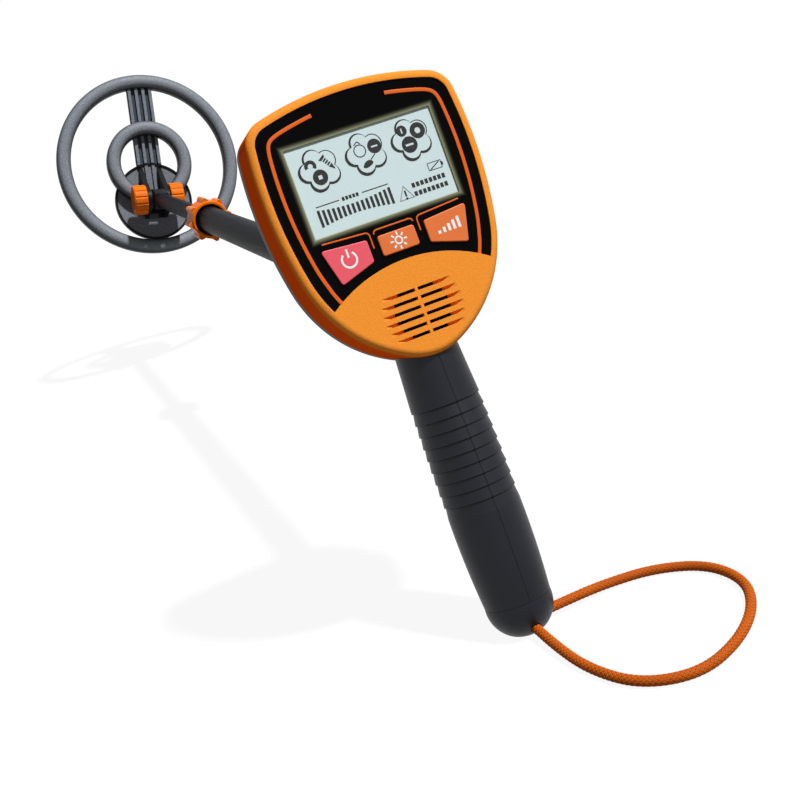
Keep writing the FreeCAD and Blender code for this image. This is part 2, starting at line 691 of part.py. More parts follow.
def add_socket(body):
    """The socket of the upper tube, square to the shaft, and its screw hole."""
    along = ("placement(vector(0; %s - (%%s) * -sin(rake); -face_out - (%%s) * cos(rake));"
             " rotation(vector(1; 0; 0); 180 + rake))" % SHAFT_UP)
    start = "tube_start - turn_fit - socket_floor - shaft_high * tan(rake)"
    floor = "tube_start - turn_fit - shaft_high * tan(rake)"
    sketch = new_sketch(body, "XY_Plane", along % (start, start))
    draw_circle(sketch, "0", "0", "tube_r + socket_wall")
    pad(body, sketch, "socket_end - tube_start + socket_floor")
    for side in ("-", ""):
        web = new_sketch(body, "XY_Plane", along % (floor, floor))
        draw_box(web, "%s(tube_r + socket_wall / 2)" % side,
                 "%s(tube_r + socket_wall + gusset_out)" % side, "-gusset_half", "gusset_half")
        pad(body, web, "cover_deep + wall")
    sketch = new_sketch(body, "XY_Plane", along % (floor, floor))
    draw_circle(sketch, "0", "0", "tube_r + turn_fit")
    pocket(body, sketch, "socket_end", forward=True)
    down = ("placement(vector(0; %s; -face_out); rotation(vector(1; 0; 0); rake - 90))"
            % SHAFT_UP)
    sketch = new_sketch(body, "XY_Plane", down)
    draw_circle(sketch, "0", "socket_end - shaft_screw_in - shaft_high * tan(rake)", "screw_r + turn_fit")
    pocket(body, sketch, "tube_r + 2 * socket_wall")


def make_face_panel():
    body = new_body("face_panel", FACE)
    draw_panel(body, "panel_rim", "-panel_thick", "panel_thick")
    sketch = new_sketch(body, "XY_Plane", "0")
    draw_box(sketch, "-screen_wide / 2", "screen_wide / 2", "-screen_tall / 2", "screen_tall / 2")
    pocket(body, sketch, "panel_thick")
    cut_key_openings(body, "0")
    return body


def make_screen_pieces():
    window = new_body("display_window", FACE)
    sketch = new_sketch(window, "XY_Plane", "-panel_thick")
    draw_box(sketch, "-(screen_wide / 2 - seat_gap)", "screen_wide / 2 - seat_gap",
             "-(screen_tall / 2 - seat_gap)", "screen_tall / 2 - seat_gap")
    pad(window, sketch, "panel_thick")
    module = new_body("lcd_module", FACE)
    sketch = new_sketch(module, "XY_Plane", BOARD_TOP)
    draw_box(sketch, "-module_wide / 2", "module_wide / 2", "-module_tall / 2", "module_tall / 2")
    pad(module, sketch, "module_thick")


def make_circuit_board():
    body = new_body("circuit_board", FACE)
    sketch = new_sketch(body, "XY_Plane", BOARD_TOP)
    top, low = "post_y_high + boss_r + 0.6", "-(post_y_low + boss_r - 0.4)"
    wide, slim = "post_x_high + 2", "post_x_low + boss_r"
    draw_path(sketch, [("-(%s)" % slim, low), (slim, low), (wide, "-screen_tall / 2"),
                       (wide, top), ("-(%s)" % wide, top), ("-(%s)" % wide, "-screen_tall / 2")])
    pad(body, sketch, "board_thick", back=True)
    sketch = new_sketch(body, "XY_Plane", BOARD_TOP)
    draw_circles(sketch, post_places(), "screw_r * 0.7 + turn_fit")
    pocket(body, sketch, "board_thick")


KEY_CENTRES = [
    ("-(key_in + key_out_low) / 2", "-(key_top + key_low + key_drop / 2) / 2"),
    ("0", "-(key_top + mid_key_low) / 2"),
    ("(key_in + key_out_low) / 2", "-(key_top + key_low + key_drop / 2) / 2"),
]


def make_key_switches():
    body = new_body("key_switches", FACE)
    for across, along in KEY_CENTRES:
        sketch = new_sketch(body, "XY_Plane", BOARD_TOP)
        draw_box(sketch, "%s - switch_side / 2" % across, "%s + switch_side / 2" % across,
                 "%s - switch_side / 2" % along, "%s + switch_side / 2" % along)
        pad(body, sketch, "switch_tall")
    sketch = new_sketch(body, "XY_Plane", SWITCH_TOP)
    draw_circles(sketch, KEY_CENTRES, "switch_well")
    pocket(body, sketch, "switch_tall / 2 + key_travel / 2")


def make_button(label, place, outline):
    """A button's cap, the flange behind the deck, and the stem to its switch."""
    body = new_body(label, FACE)
    sketch = new_sketch(body, "XY_Plane", "-(panel_thick + deck_thick + run_gap)")
    outline(sketch, "0")
    pad(body, sketch, "panel_thick + deck_thick + run_gap + key_proud")
    soften(body, "Fillet", "key_round - run_gap", upright)
    soften(body, "Fillet", "key_round / 3", edge_at("key_proud"))
    sketch = new_sketch(body, "XY_Plane", "-(panel_thick + deck_thick + run_gap)")
    outline(sketch, "key_flange")
    pad(body, sketch, "key_flange", back=True)
    sketch = new_sketch(body, "XY_Plane", "-(panel_thick + deck_thick + run_gap)")
    draw_circle(sketch, place[0], place[1], "stem_r")
    pad(body, sketch, "-(%s) - (panel_thick + deck_thick + run_gap) + 0.6" % SWITCH_TOP, back=True)
    return body


def make_buttons():
    make_button("power_button", KEY_CENTRES[0],
                lambda sketch, grow: draw_outer_key(sketch, grow, "-"))
    make_button("backlight_button", KEY_CENTRES[1], draw_middle_key)
    make_button("mode_button", KEY_CENTRES[2],
                lambda sketch, grow: draw_outer_key(sketch, grow, ""))


def make_speaker():
    body = new_body("speaker", FACE)
    front = "-(panel_thick + deck_thick + seat_gap)"
    back = "-(panel_thick + deck_thick + seat_gap + speaker_thick)"
    sketch = new_sketch(body, "XY_Plane", front)
    draw_circle(sketch, "0", "-grille_down", "speaker_r")
    pad(body, sketch, "speaker_thick / 3", back=True)
    sketch = new_sketch(body, "XY_Plane", back)
    draw_circle(sketch, "0", "-grille_down", "speaker_r * 0.6")
    pad(body, sketch, "speaker_thick")
    sketch = new_sketch(body, "XY_Plane", front)
    draw_circle(sketch, "0", "-grille_down", "speaker_r * 0.8")
    pocket(body, sketch, "speaker_thick / 5")


def make_screw(place, head_at, shank, radius, head_r, head_tall):
    """A pan-head screw that points out of the face, with its head at the back."""
    body = new_body("screw", FACE, node=False)
    sketch = new_sketch(body, "XY_Plane", head_at)
    draw_circle(sketch, place[0], place[1], radius)
    pad(body, sketch, shank)
    sketch = new_sketch(body, "XY_Plane", head_at)
    draw_circle(sketch, place[0], place[1], head_r)
    pad(body, sketch, head_tall, back=True)
    return body


def make_case_screws():
    seat = "%s + head_tall + run_gap" % COVER_BACK
    group("case_screws", [make_screw(place, seat, "case_deep * 0.7", "screw_r", "head_r",
                                     "head_tall") for place in boss_places()])
    under = "%s - board_thick" % BOARD_TOP
    group("board_screws", [make_screw(place, under, "board_thick + module_thick / 2",
                                      "screw_r * 0.7", "head_r * 0.7", "head_tall * 0.6")
                           for place in post_places()])


def cell_axis():
    return "%s + door_thick + run_gap + cell_r + seat_gap" % COVER_BACK


def make_cells():
    cells = []
    for step in (-1, 0, 1):
        frame = FACE + " * placement(vector(-cell_long / 2; cell_up + (%s) * cell_pitch; %s);" \
            " rotation(vector(0; 1; 0); 90))" % (step, cell_axis())
        cell = new_body("cell", frame, node=False)
        sketch = new_sketch(cell, "XZ_Plane")
        draw_path(sketch, [("0", "0"), ("cell_r", "0"), ("cell_r", "cell_long - cell_pip"),
                           ("cell_pip_r", "cell_long - cell_pip"), ("cell_pip_r", "cell_long"),
                           ("0", "cell_long")])
        revolve(cell, sketch)
        cells.append(cell)
    group("battery_cells", cells)


def make_contacts():
    """A contact plate at each end of the cells, with a coned spring per cell."""
    plates = []
    for hand in ("", "-"):
        body = new_body("contact", FACE, node=False)
        wall_side = "%s(door_half_wide - seat_gap)" % hand
        plate_side = "%s(door_half_wide - seat_gap - contact_thick)" % hand
        sketch = new_sketch(body, "XY_Plane", "%s - cell_r + seat_gap" % cell_axis())
        draw_box(sketch, plate_side, wall_side,
                 "cell_up - 1.5 * cell_pitch", "cell_up + 1.5 * cell_pitch")
        pad(body, sketch, "2 * cell_r - 1")
        for step in (-1, 0, 1):
            turn = "90" if hand == "" else "-90"
            offset = ("placement(vector(%s(cell_long / 2 + seat_gap); cell_up + (%s) * cell_pitch; %s);"
                      " rotation(vector(0; 1; 0); %s))" % (hand, step, cell_axis(), turn))
            spring = new_sketch(body, "XY_Plane", offset)
            draw_circle(spring, "0", "0", "cell_r / 2")
            pad(body, spring, "spring_room - 2 * seat_gap")
        plates.append(body)
    group("battery_contacts", plates)


def make_battery_door():
    body = new_body("battery_door", FACE)
    sketch = new_sketch(body, "XY_Plane", COVER_BACK)
    draw_box(sketch, "-(door_half_wide - run_gap)", "door_half_wide - run_gap",
             "cell_up - door_half_tall + run_gap", "cell_up + door_half_tall - run_gap")
    pad(body, sketch, "door_thick")
    inner = value_of("%s + door_thick" % COVER_BACK)
    lower = value_of("cell_up - door_half_tall + run_gap")

    def hinge_edge(edge):
        box = edge.BoundBox
        return abs(box.ZMin - inner) < 1e-4 and box.YMax < lower + 1e-4

    soften(body, "Fillet", "door_thick - lip_flat", hinge_edge)
    sketch = new_sketch(body, "XY_Plane", COVER_BACK)
    for step in range(3):
        upper = "cell_up + door_half_tall - groove_edge - %s * groove_pitch" % step
        draw_box(sketch, "-groove_half", "groove_half", "%s - groove_wide" % upper, upper)
    pocket(body, sketch, "door_thick / 3", forward=True)


# ------------------------------------------------------------------------- grip

def grip_outline():
    """The grip's half section as (height, radius), from its foot up and back
    down inside.  Each rib swells downwards and steps in at a groove."""
    corners = [("cap_high + seat_gap", "foot_r", "-grip_swell"),
               ("rib_first - rib_pitch * (rib_count - 1) - rib_pitch", "grip_r")]
    for groove in range(int(value_of("rib_count")), 0, -1):
        height = "rib_first - rib_pitch * %s" % (groove - 1)
        swell = "grip_r - rib_fade * ((rib_count - %s) / rib_count) ^ 2" % groove
        corners.append((height, "%s - rib_step" % swell))
        corners.append(("%s + 0.5" % height, swell))
    corners += [("neck_solid", "neck_r + rib_fade"),
                ("screen_up - case_low + wall * 3", "neck_r"),
                ("screen_up - case_low + wall * 3", "0"),
                ("neck_solid", "0"),
                ("neck_solid - 2", "neck_r - grip_wall"),
                ("rib_first - rib_pitch * rib_count", "grip_r - rib_step - grip_wall"),
                ("cap_high + seat_gap", "foot_r - grip_wall")]
    return corners


def grip_screw_heights():
    return ["grip_screw_low + %s * grip_screw_step" % step for step in range(3)]


def make_grip_half(label, left):
    """One half of the grip, with bosses that meet those of the other half.

    The screws' heads are sunk in the right half."""
    body = new_body(label, GRIP)
    sketch = new_sketch(body, "YZ_Plane")
    draw_path(sketch, grip_outline())
    revolve(body, sketch, "H_Axis", 180, back=left)
    sketch = new_sketch(body, "XY_Plane", "placement(vector(0; screen_up; 0);"
                        " rotation(vector(0; 0; 1); 0))")
    draw_case(sketch, "-seat_gap")
    pocket(body, sketch, "6 * neck_r", both=True)
    sketch = new_sketch(body, "YZ_Plane")
    draw_box(sketch, "neck_solid + 4", "tongue_top", "-tongue_back", "tongue_front")
    pad(body, sketch, "tongue_half", back=left)
    sketch = new_sketch(body, "YZ_Plane")
    draw_circles(sketch, [(height, "0") for height in grip_screw_heights()], "grip_boss_r")
    pad(body, sketch, "foot_r - grip_wall / 2", back=left)
    sketch = new_sketch(body, "YZ_Plane")
    draw_circles(sketch, [(height, "0") for height in grip_screw_heights()],
                 "screw_r + turn_fit")
    pocket(body, sketch, "foot_r / 2", forward=not left)
    if not left:
        sketch = new_sketch(body, "YZ_Plane", "foot_r / 2")
        draw_circles(sketch, [(height, "0") for height in grip_screw_heights()],
                     "head_r + run_gap")
        pocket(body, sketch, "2 * foot_r", forward=True)


def make_grip_screws():
    screws = []
    for height in grip_screw_heights():
        body = new_body("grip_screw", GRIP, node=False)
        sketch = new_sketch(body, "YZ_Plane", "foot_r / 2")
        draw_circle(sketch, height, "0", "screw_r")
        pad(body, sketch, "foot_r * 0.9", back=True)
        sketch = new_sketch(body, "YZ_Plane", "foot_r / 2")
        draw_circle(sketch, height, "0", "head_r")
        pad(body, sketch, "head_tall")
        screws.append(body)
    group("grip_screws", screws)


def make_end_cap():
    """The domed foot, cut level where it stands, with two holes for the strap."""
    body = new_body("grip_end_cap", GRIP)
    sketch = new_sketch(body, "XY_Plane")
    spigot = "foot_r - grip_wall - seat_gap"
    draw_path(sketch, [
        ("0", "cap_ball_up - cap_ball", "cap_ball"),
        ("sqrt(cap_ball ^ 2 - (cap_high - cap_ball_up) ^ 2)", "cap_high"),
        (spigot, "cap_high"),
        (spigot, "cap_high + spigot_tall"),
        ("0", "cap_high + spigot_tall")])
    revolve(body, sketch)
    sketch = new_sketch(body, "XY_Plane", "placement(vector(0; 0; 0);"
                        " rotation(vector(1; 0; 0); rake - 90))")
    draw_circle(sketch, "0", "0", "2 * cap_ball")
    pocket(body, sketch, "cap_ball")
    sketch = new_sketch(body, "XY_Plane", "placement(vector(0; -cord_in * sin(rake);"
                        " cord_in * cos(rake)); rotation(vector(1; 0; 0); rake))")
    draw_circle(sketch, "0", "cord_high", "cord_hole_r")
    pocket(body, sketch, "2 * cap_ball", forward=True)
    sketch = new_sketch(body, "YZ_Plane", "cord_in")
    draw_circle(sketch, "cord_high * cos(rake)", "cord_high * sin(rake)", "cord_hole_r")
    pocket(body, sketch, "2 * cap_ball", forward=True)


# ------------------------------------------------------------------------ shaft

TUBE_BORE = "(tube_r - tube_wall)"


def make_upper_tube():
    body = turned("upper_tube", SHAFT, [
        (TUBE_BORE, "tube_start"), ("tube_r", "tube_start"),
        ("tube_r", "tube_end"), (TUBE_BORE, "tube_end")])
    sketch = new_sketch(body, "XZ_Plane")
    draw_circle(sketch, "0", "socket_end - shaft_screw_in", "screw_r + turn_fit")
    pocket(body, sketch, "2 * tube_r")
    screw = new_body("shaft_screw", SHAFT)
    sketch = new_sketch(screw, "XZ_Plane", "-(tube_r + socket_wall + seat_gap)")
    draw_circle(sketch, "0", "socket_end - shaft_screw_in", "screw_r")
    pad(screw, sketch, "socket_wall + tube_wall + 1.5")
    sketch = new_sketch(screw, "XZ_Plane", "-(tube_r + socket_wall + seat_gap)")
    draw_circle(sketch, "0", "socket_end - shaft_screw_in", "head_r")
    pad(screw, sketch, "head_tall", back=True)


def make_ferrule_and_collar():
    bore = "lower_r + turn_fit"
    flange_end = "tube_end + ferrule_out"
    turned("tube_ferrule", SHAFT, [
        (bore, "ferrule_start"), (TUBE_BORE + " - turn_fit", "ferrule_start"),
        (TUBE_BORE + " - turn_fit", "tube_end"), ("ferrule_flange_r", "tube_end"),
        ("ferrule_flange_r", flange_end), ("collet_r", flange_end),
        ("collet_r - 1.2", "collet_end"), (bore, "collet_end")])
    collar = turned("lock_collar", SHAFT, [
        ("mouth_r", "collar_start"), ("collar_r - 0.8", "collar_start"),
        ("collar_r", "collar_start + 0.8"), ("collar_r", "collar_end - collar_nose"),
        ("collar_r - nose_slim", "collar_end - 1"), ("collar_r - nose_slim - 1", "collar_end"),
        ("lower_r + run_gap", "collar_end"), ("lower_r + run_gap", "collet_end + run_gap"),
        ("collet_r + run_gap", "collet_end + run_gap"),
        ("collet_r + run_gap", flange_end + " + run_gap"),
        ("ferrule_flange_r + run_gap", flange_end + " + run_gap"),
        ("ferrule_flange_r + run_gap", "tube_end - run_gap"), ("mouth_r", "tube_end - 2")])
    sketch = new_sketch(collar, "XY_Plane", "collar_start + 1.5")
    draw_path(sketch, [
        ("collar_r - 1", "-lobe_half - 0.6"), ("lobe_out - lobe_half / 2", "-lobe_half * 0.75"),
        ("lobe_out", "-lobe_half * 0.3"), ("lobe_out", "lobe_half * 0.3"),
        ("lobe_out - lobe_half / 2", "lobe_half * 0.75"), ("collar_r - 1", "lobe_half + 0.6")])
    lobe = pad(collar, sketch, "collar_end - collar_start - collar_nose - 2")
    polar(collar, lobe, "lobe_count")


def make_lower_shaft():
    turned("guide_bush", SHAFT, [
        ("lower_r + turn_fit", "bush_start"), (TUBE_BORE + " - turn_fit", "bush_start"),
        (TUBE_BORE + " - turn_fit", "bush_start + bush_long"),
        ("lower_r + turn_fit", "bush_start + bush_long")])
    lower_bore = "lower_r - lower_wall"
    turned("lower_tube", LOWER, [
        (lower_bore, "lower_start"), ("lower_r", "lower_start"),
        ("lower_r", "lower_end"), (lower_bore, "lower_end")])
    turned("shaft_stop", LOWER, [
        ("0", "lower_start - stop_long"), ("lower_r + stop_proud", "lower_start - stop_long"),
        ("lower_r + stop_proud", "lower_start"), (lower_bore + " - turn_fit", "lower_start"),
        (lower_bore + " - turn_fit", "lower_start + stop_plug"),
        ("0", "lower_start + stop_plug")])
    body = new_body("shaft_tongue", LOWER)
    sketch = new_sketch(body, "XY_Plane", "lower_end - plug_long")
    draw_circle(sketch, "0", "0", lower_bore + " - turn_fit")
    pad(body, sketch, "plug_long + turn_fit")
    sketch = new_sketch(body, "YZ_Plane")
    draw_path(sketch, [
        ("-lower_r", "lower_end + turn_fit"), ("lower_r", "lower_end + turn_fit"),
        ("knuckle_r", "hinge_far - knuckle_neck"), ("knuckle_r", "hinge_far", "knuckle_r"),
        ("0", "hinge_far + knuckle_r", "knuckle_r"),
        ("-knuckle_r", "hinge_far"), ("-knuckle_r", "hinge_far - knuckle_neck")])
    pad(body, sketch, "2 * tongue_thick", both=True)
    sketch = new_sketch(body, "YZ_Plane")
    draw_circle(sketch, "0", "hinge_far", "bolt_r + turn_fit")
    pocket(body, sketch, "4 * tongue_thick", both=True)


# ------------------------------------------------------------------------- coil

WEB_LOW = "-(coil_below + ring_skirt)"
WEB_TOP = "(web_thick - coil_below - ring_skirt)"


def ring_section(radius):
    """A hollow arch with a straight skirt, open underneath."""
    inner, outer = "%s - ring_half" % radius, "%s + ring_half" % radius
    return [
        (inner, "-ring_skirt"), (inner + " + ring_wall", "-ring_skirt"),
        (inner + " + ring_wall", "0", "-(ring_half - ring_wall)"),
        (radius, "ring_half - ring_wall", "-(ring_half - ring_wall)"),
        (outer + " - ring_wall", "0"), (outer + " - ring_wall", "-ring_skirt"),
        (outer, "-ring_skirt"), (outer, "0", "ring_half"),
        (radius, "ring_half", "ring_half"), (inner, "0")]


def make_ring(name, radius, height):
    """A ring's shell, the plate that closes it underneath, and its winding."""
    frame = COIL + " * placement(vector(0; coil_ahead; %s); rotation(vector(0; 0; 1); 0))" % height
    turned(name + "_ring", frame, ring_section(radius))
    inner = "%s - ring_half + ring_wall + turn_fit" % radius
    outer = "%s + ring_half - ring_wall - turn_fit" % radius
    turned(name + "_ring_base", frame, [
        (inner, "-ring_skirt"), (outer, "-ring_skirt"),
        (outer, "base_thick - ring_skirt"), (inner, "base_thick - ring_skirt")])
    winding = document.addObject("Part::Torus", name + "_winding")
    winding.Label = name + "_winding"
    bind(winding, "Radius1", radius)
    bind(winding, "Radius2", "winding_r")
    lift = "base_thick - ring_skirt + winding_r + turn_fit"
    bind(winding, "Placement", COIL + " * placement(vector(0; coil_ahead; %s + %s);"
         " rotation(vector(0; 0; 1); 0))" % (height, lift))
    NODES.append(winding)


def make_web():
    """The hub disc and the ribbed spoke that carry both rings."""
    body = new_body("coil_web", COIL)
    sketch = new_sketch(body, "XY_Plane", WEB_LOW)
    draw_circle(sketch, "0", "disc_ahead", "disc_r")
    pad(body, sketch, "web_thick")
    sketch = new_sketch(body, "XY_Plane", WEB_TOP)
    draw_circle(sketch, "0", "disc_ahead", "disc_r")
    draw_circle(sketch, "0", "disc_ahead", "disc_r - rim_wide")
    pad(body, sketch, "rim_tall")
    reach = "coil_ahead + ring_r - ring_half + spoke_lap"
    sketch = new_sketch(body, "XY_Plane", WEB_LOW)
    draw_box(sketch, "-spoke_half", "spoke_half", "disc_ahead", reach)
    pad(body, sketch, "web_thick")
    for step in (-1.5, -0.5, 0.5, 1.5):
        sketch = new_sketch(body, "XY_Plane", WEB_TOP)
        middle = "%s * spoke_rib_pitch" % step
        start = "ear_r + rib_start" if abs(step) < 1 else "ear_fin + 1"
        draw_box(sketch, "%s - spoke_rib / 2" % middle, "%s + spoke_rib / 2" % middle,
                 start, reach)
        pad(body, sketch, "spoke_rib_tall")
    sketch = new_sketch(body, "XY_Plane", WEB_LOW)
    draw_circle(sketch, "0", "coil_ahead", "ring_r - ring_half - turn_fit")
    draw_circle(sketch, "0", "coil_ahead", "ring_r + 3 * ring_half")
    pocket(body, sketch, "2 * coil_below", forward=True)
    sketch = new_sketch(body, "XY_Plane", WEB_TOP)
    draw_circle(sketch, "0", "coil_ahead", "small_ring_r - ring_half - turn_fit")
    draw_circle(sketch, "0", "coil_ahead", "small_ring_r + ring_half + turn_fit")
    pocket(body, sketch, "coil_below", forward=True)


def make_bracket():
    """A base on the hub disc with two finned ears for the hinge bolt."""
    body = new_body("coil_bracket", COIL)
    sketch = new_sketch(body, "XY_Plane", WEB_TOP)
    side = "ear_start + ear_thick"
    draw_box(sketch, "-(%s)" % side, side, "-(ear_r + base_heel)", "ear_r + base_toe")
    pad(body, sketch, "bracket_thick")
    outline = [("-(ear_r + base_heel)", WEB_TOP), ("ear_fin", WEB_TOP),
               ("ear_r * sqrt(0.5)", "ear_r * sqrt(0.5)", "ear_r"), ("-ear_r", "0")]
    for hand in ("", "-"):
        sketch = new_sketch(body, "YZ_Plane", "%sear_start" % hand)
        draw_path(sketch, outline)
        pad(body, sketch, "ear_thick", back=(hand == "-"))
    sketch = new_sketch(body, "YZ_Plane")
    draw_circle(sketch, "0", "0", "bolt_r + turn_fit")
    pocket(body, sketch, "4 * (%s)" % side, both=True)
    sketch = new_sketch(body, "XY_Plane", WEB_TOP)
    draw_circle(sketch, "0", "coil_ahead", "small_ring_r - ring_half - run_gap")
    draw_circle(sketch, "0", "coil_ahead", "small_ring_r + ring_half + run_gap")
    pocket(body, sketch, "ring_skirt + ring_half + run_gap", forward=True)


def make_hinge_hardware():
    half = "(ear_start + ear_thick + run_gap + knob_thick - dish_deep - seat_gap)"
    bolt = new_body("hinge_bolt", COIL)
    sketch = new_sketch(bolt, "YZ_Plane")
    draw_circle(sketch, "0", "0", "bolt_r")
    pad(bolt, sketch, "2 * %s" % half, both=True)
    washers = []
    for hand in ("", "-"):
        body = new_body("washer", COIL, node=False)
        sketch = new_sketch(body, "YZ_Plane", "%s(ear_start - washer_thick - turn_fit)" % hand)
        draw_circle(sketch, "0", "0", "washer_r")
        draw_circle(sketch, "0", "0", "bolt_r + turn_fit")
        pad(body, sketch, "washer_thick", back=(hand == "-"))
        washers.append(body)
    group("hinge_washers", washers)


def make_knob(label, hand):
    """A fluted hand nut on the hinge bolt, with a shallow dish in its end."""
    frame = COIL + (" * placement(vector(%s(ear_start + ear_thick + run_gap); 0; 0);"
                    " rotation(vector(0; 1; 0); %s90))" % (hand, hand))
    body = turned(label, frame, [
        ("bolt_r + turn_fit", "0"), ("knob_r - 0.8", "0"), ("knob_r", "0.8"),
        ("knob_r", "knob_thick - knob_edge"), ("knob_r - knob_edge", "knob_thick"),
        ("knob_r * 0.62", "knob_thick"), ("knob_r * 0.55", "knob_thick - dish_deep"),
        ("bolt_r + turn_fit", "knob_thick - dish_deep")])
    sketch = new_sketch(body, "XY_Plane", "-1")
    draw_circle(sketch, "knob_r + flute_r * 0.35", "0", "flute_r")
    flute = pocket(body, sketch, "knob_thick + 2", forward=True)
    polar(body, flute, "flute_count")


# ------------------------------------------------------------------ wrist strap

STRAP_ROUTE = [
    (0, -8.3, 5), (0, -29, 3.9), (3, -57, 2.7), (14, -83, 2.7), (38, -95, 2.7),
    (64, -87, 2.7), (86, -70, 2.7), (99, -47, 2.7), (95, -21, 2.7), (74, -4, 2.7),
    (49, 1, 3.4), (28, 0, 5), (8.3, 0, 5)]


def bend_radius(before, corner, after):
    """The largest arc that the two runs at a corner allow."""
    shorter = min((corner - before).Length, (after - corner).Length)
    turn = (corner - before).getAngle(after - corner)
    return 0.45 * shorter / math.tan(turn / 2), turn


def rounded_wire(points):
    """Straight runs joined by tangent arcs."""
    edges = []
    start = points[0]
    for before, corner, after in zip(points, points[1:], points[2:]):
        radius, turn = bend_radius(before, corner, after)
        back = radius * math.tan(turn / 2)
        arriving = (corner - before).normalize()
        leaving = (after - corner).normalize()
        first, last = corner - arriving * back, corner + leaving * back
        inward = (leaving - arriving).normalize()
        middle = corner + inward * (radius / math.cos(turn / 2) - radius)
        edges.append(Part.LineSegment(start, first).toShape())
        edges.append(Part.Arc(first, middle, last).toShape())
        start = last
        print("strap bend radius %.1f" % radius)
    edges.append(Part.LineSegment(start, points[-1]).toShape())
    return Part.Wire(edges)


def make_strap():
    points = [Vector(*point) for point in STRAP_ROUTE]
    wire = rounded_wire(points)
    circle = Part.Circle(points[0], points[1] - points[0], value_of("cord_r"))
    section = Part.Wire([circle.toShape()])
    tube = wire.makePipeShell([section], True, False)
    strap = document.addObject("Part::Feature", "wrist_strap")
    strap.Label = "wrist_strap"
    strap.Shape = tube
    NODES.append(strap)
    expected = math.pi * value_of("cord_r") ** 2 * wire.Length
    print("strap length %.1f, volume %.4f of section times length"
          % (wire.Length, tube.Volume / expected))


# ------------------------------------------------------------ build and export

def check(item):
    document_states = {"Invalid", "Error"}
    if document_states & set(item.State):
        raise ValueError("%s failed: %s" % (item.Label, item.State))


def export_nodes():
    document.recompute()
    for item in document.Objects:
        check(item)
    os.makedirs("parts", exist_ok=True)
    for node in NODES:
        shape = node.Shape
        if shape.isNull() or not shape.isValid():
            raise ValueError("%s has no valid shape" % node.Label)
        shape.exportStep(os.path.join("parts", node.Label + ".step"))
        print("%-18s %2d solid(s) %10.1f mm3" % (node.Label, len(shape.Solids), shape.Volume))


make_front_housing()
make_rear_cover()
make_face_panel()
make_screen_pieces()
make_circuit_board()
make_key_switches()
make_buttons()
make_speaker()
make_case_screws()
make_cells()
make_contacts()
make_battery_door()
make_grip_half("grip_left", True)
make_grip_half("grip_right", False)
make_grip_screws()
make_end_cap()
make_upper_tube()
make_ferrule_and_collar()
make_lower_shaft()
make_ring("outer", "ring_r", "-coil_below")
make_ring("inner", "small_ring_r", "%s + ring_skirt" % WEB_TOP)
make_web()
make_bracket()
make_hinge_hardware()
make_knob("knob_right", "")
make_knob("knob_left", "-")
make_strap()
export_nodes()
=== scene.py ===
# %% [markdown]
# # A small metal detector
# This lesson dresses a small metal detector, with a shield-shaped control box on
# a ribbed grip, a telescopic shaft and an open ring coil. Its hard pieces come
# with their true shapes, so most of the work here is finish: moulded plastics,
# prints, a liquid crystal screen and a braided wrist strap.

# %% Load the pieces
import json
import math
import bmesh
import bpy
from mathutils import Matrix, Vector


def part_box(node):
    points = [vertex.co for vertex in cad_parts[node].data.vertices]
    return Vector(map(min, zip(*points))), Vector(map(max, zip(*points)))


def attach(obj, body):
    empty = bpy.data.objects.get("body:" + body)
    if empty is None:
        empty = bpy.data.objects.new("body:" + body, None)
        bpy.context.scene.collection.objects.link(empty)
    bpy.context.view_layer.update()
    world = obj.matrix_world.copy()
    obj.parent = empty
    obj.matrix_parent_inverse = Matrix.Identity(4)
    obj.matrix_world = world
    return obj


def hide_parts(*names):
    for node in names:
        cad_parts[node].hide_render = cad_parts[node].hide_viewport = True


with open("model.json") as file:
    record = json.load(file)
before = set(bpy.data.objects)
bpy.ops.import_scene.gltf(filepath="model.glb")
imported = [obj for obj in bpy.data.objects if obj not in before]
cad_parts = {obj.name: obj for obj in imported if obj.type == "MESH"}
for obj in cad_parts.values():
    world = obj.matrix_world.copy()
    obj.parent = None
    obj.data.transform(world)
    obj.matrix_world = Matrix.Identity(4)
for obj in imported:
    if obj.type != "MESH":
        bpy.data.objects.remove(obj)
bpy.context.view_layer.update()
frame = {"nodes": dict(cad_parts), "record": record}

bpy.ops.object.select_all(action="DESELECT")
MM = 0.001
nodes = frame["nodes"]
record = frame["record"]
joints = {joint["name"]: joint for joint in record["behaviour"]["joints"]}
print("pieces from the workshop:", len(nodes))

# %% [markdown]
# The screen leans back with the grip, and the coil is tilted on its hinge. Their
# prints and patterns could be placed in the scene's own metres, but every number
# would then be a slanted one. So both get a frame of their own, read from the
# joints, in which a place is given in plain millimetres across the panel or coil.

# %% Frames of the panel and of the coil
def turned_frame(across, up, out, origin):
    """A matrix from a piece's own directions to the scene's."""
    frame_of = Matrix((across, up, out)).transposed().to_4x4()
    frame_of.translation = origin
    return frame_of


def middle(node):
    """The middle of a piece's box."""
    low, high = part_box(node)
    return (Vector(low) + Vector(high)) / 2


across = Vector((1, 0, 0))
out = -Vector(joints["power_press"]["axis"]).normalized()
FACE = turned_frame(across, out.cross(across), out, middle("display_window"))

hinge = Vector(joints["coil_tilt"]["pos_m"])
hinge_way = -Vector(joints["coil_tilt"]["axis"]).normalized()
sole = next(mount for mount in record["mounts"] if mount["name"] == "search_face")
coil_up = -Vector(sole["axis"]).normalized()
COIL = turned_frame(hinge_way, coil_up.cross(hinge_way), coil_up, hinge)


def corners(node, place):
    """A piece's points, in millimetres in one of those frames."""
    back = place.inverted()
    return [back @ vertex.co / MM for vertex in nodes[node].data.vertices]


def levels(node, place):
    """A piece's lowest and highest point above the plane of one of those frames."""
    heights = [point.z for point in corners(node, place)]
    return min(heights), max(heights)


def top_of(node):
    """How far a piece stands out of the middle of the window, in millimetres."""
    return levels(node, FACE)[1]


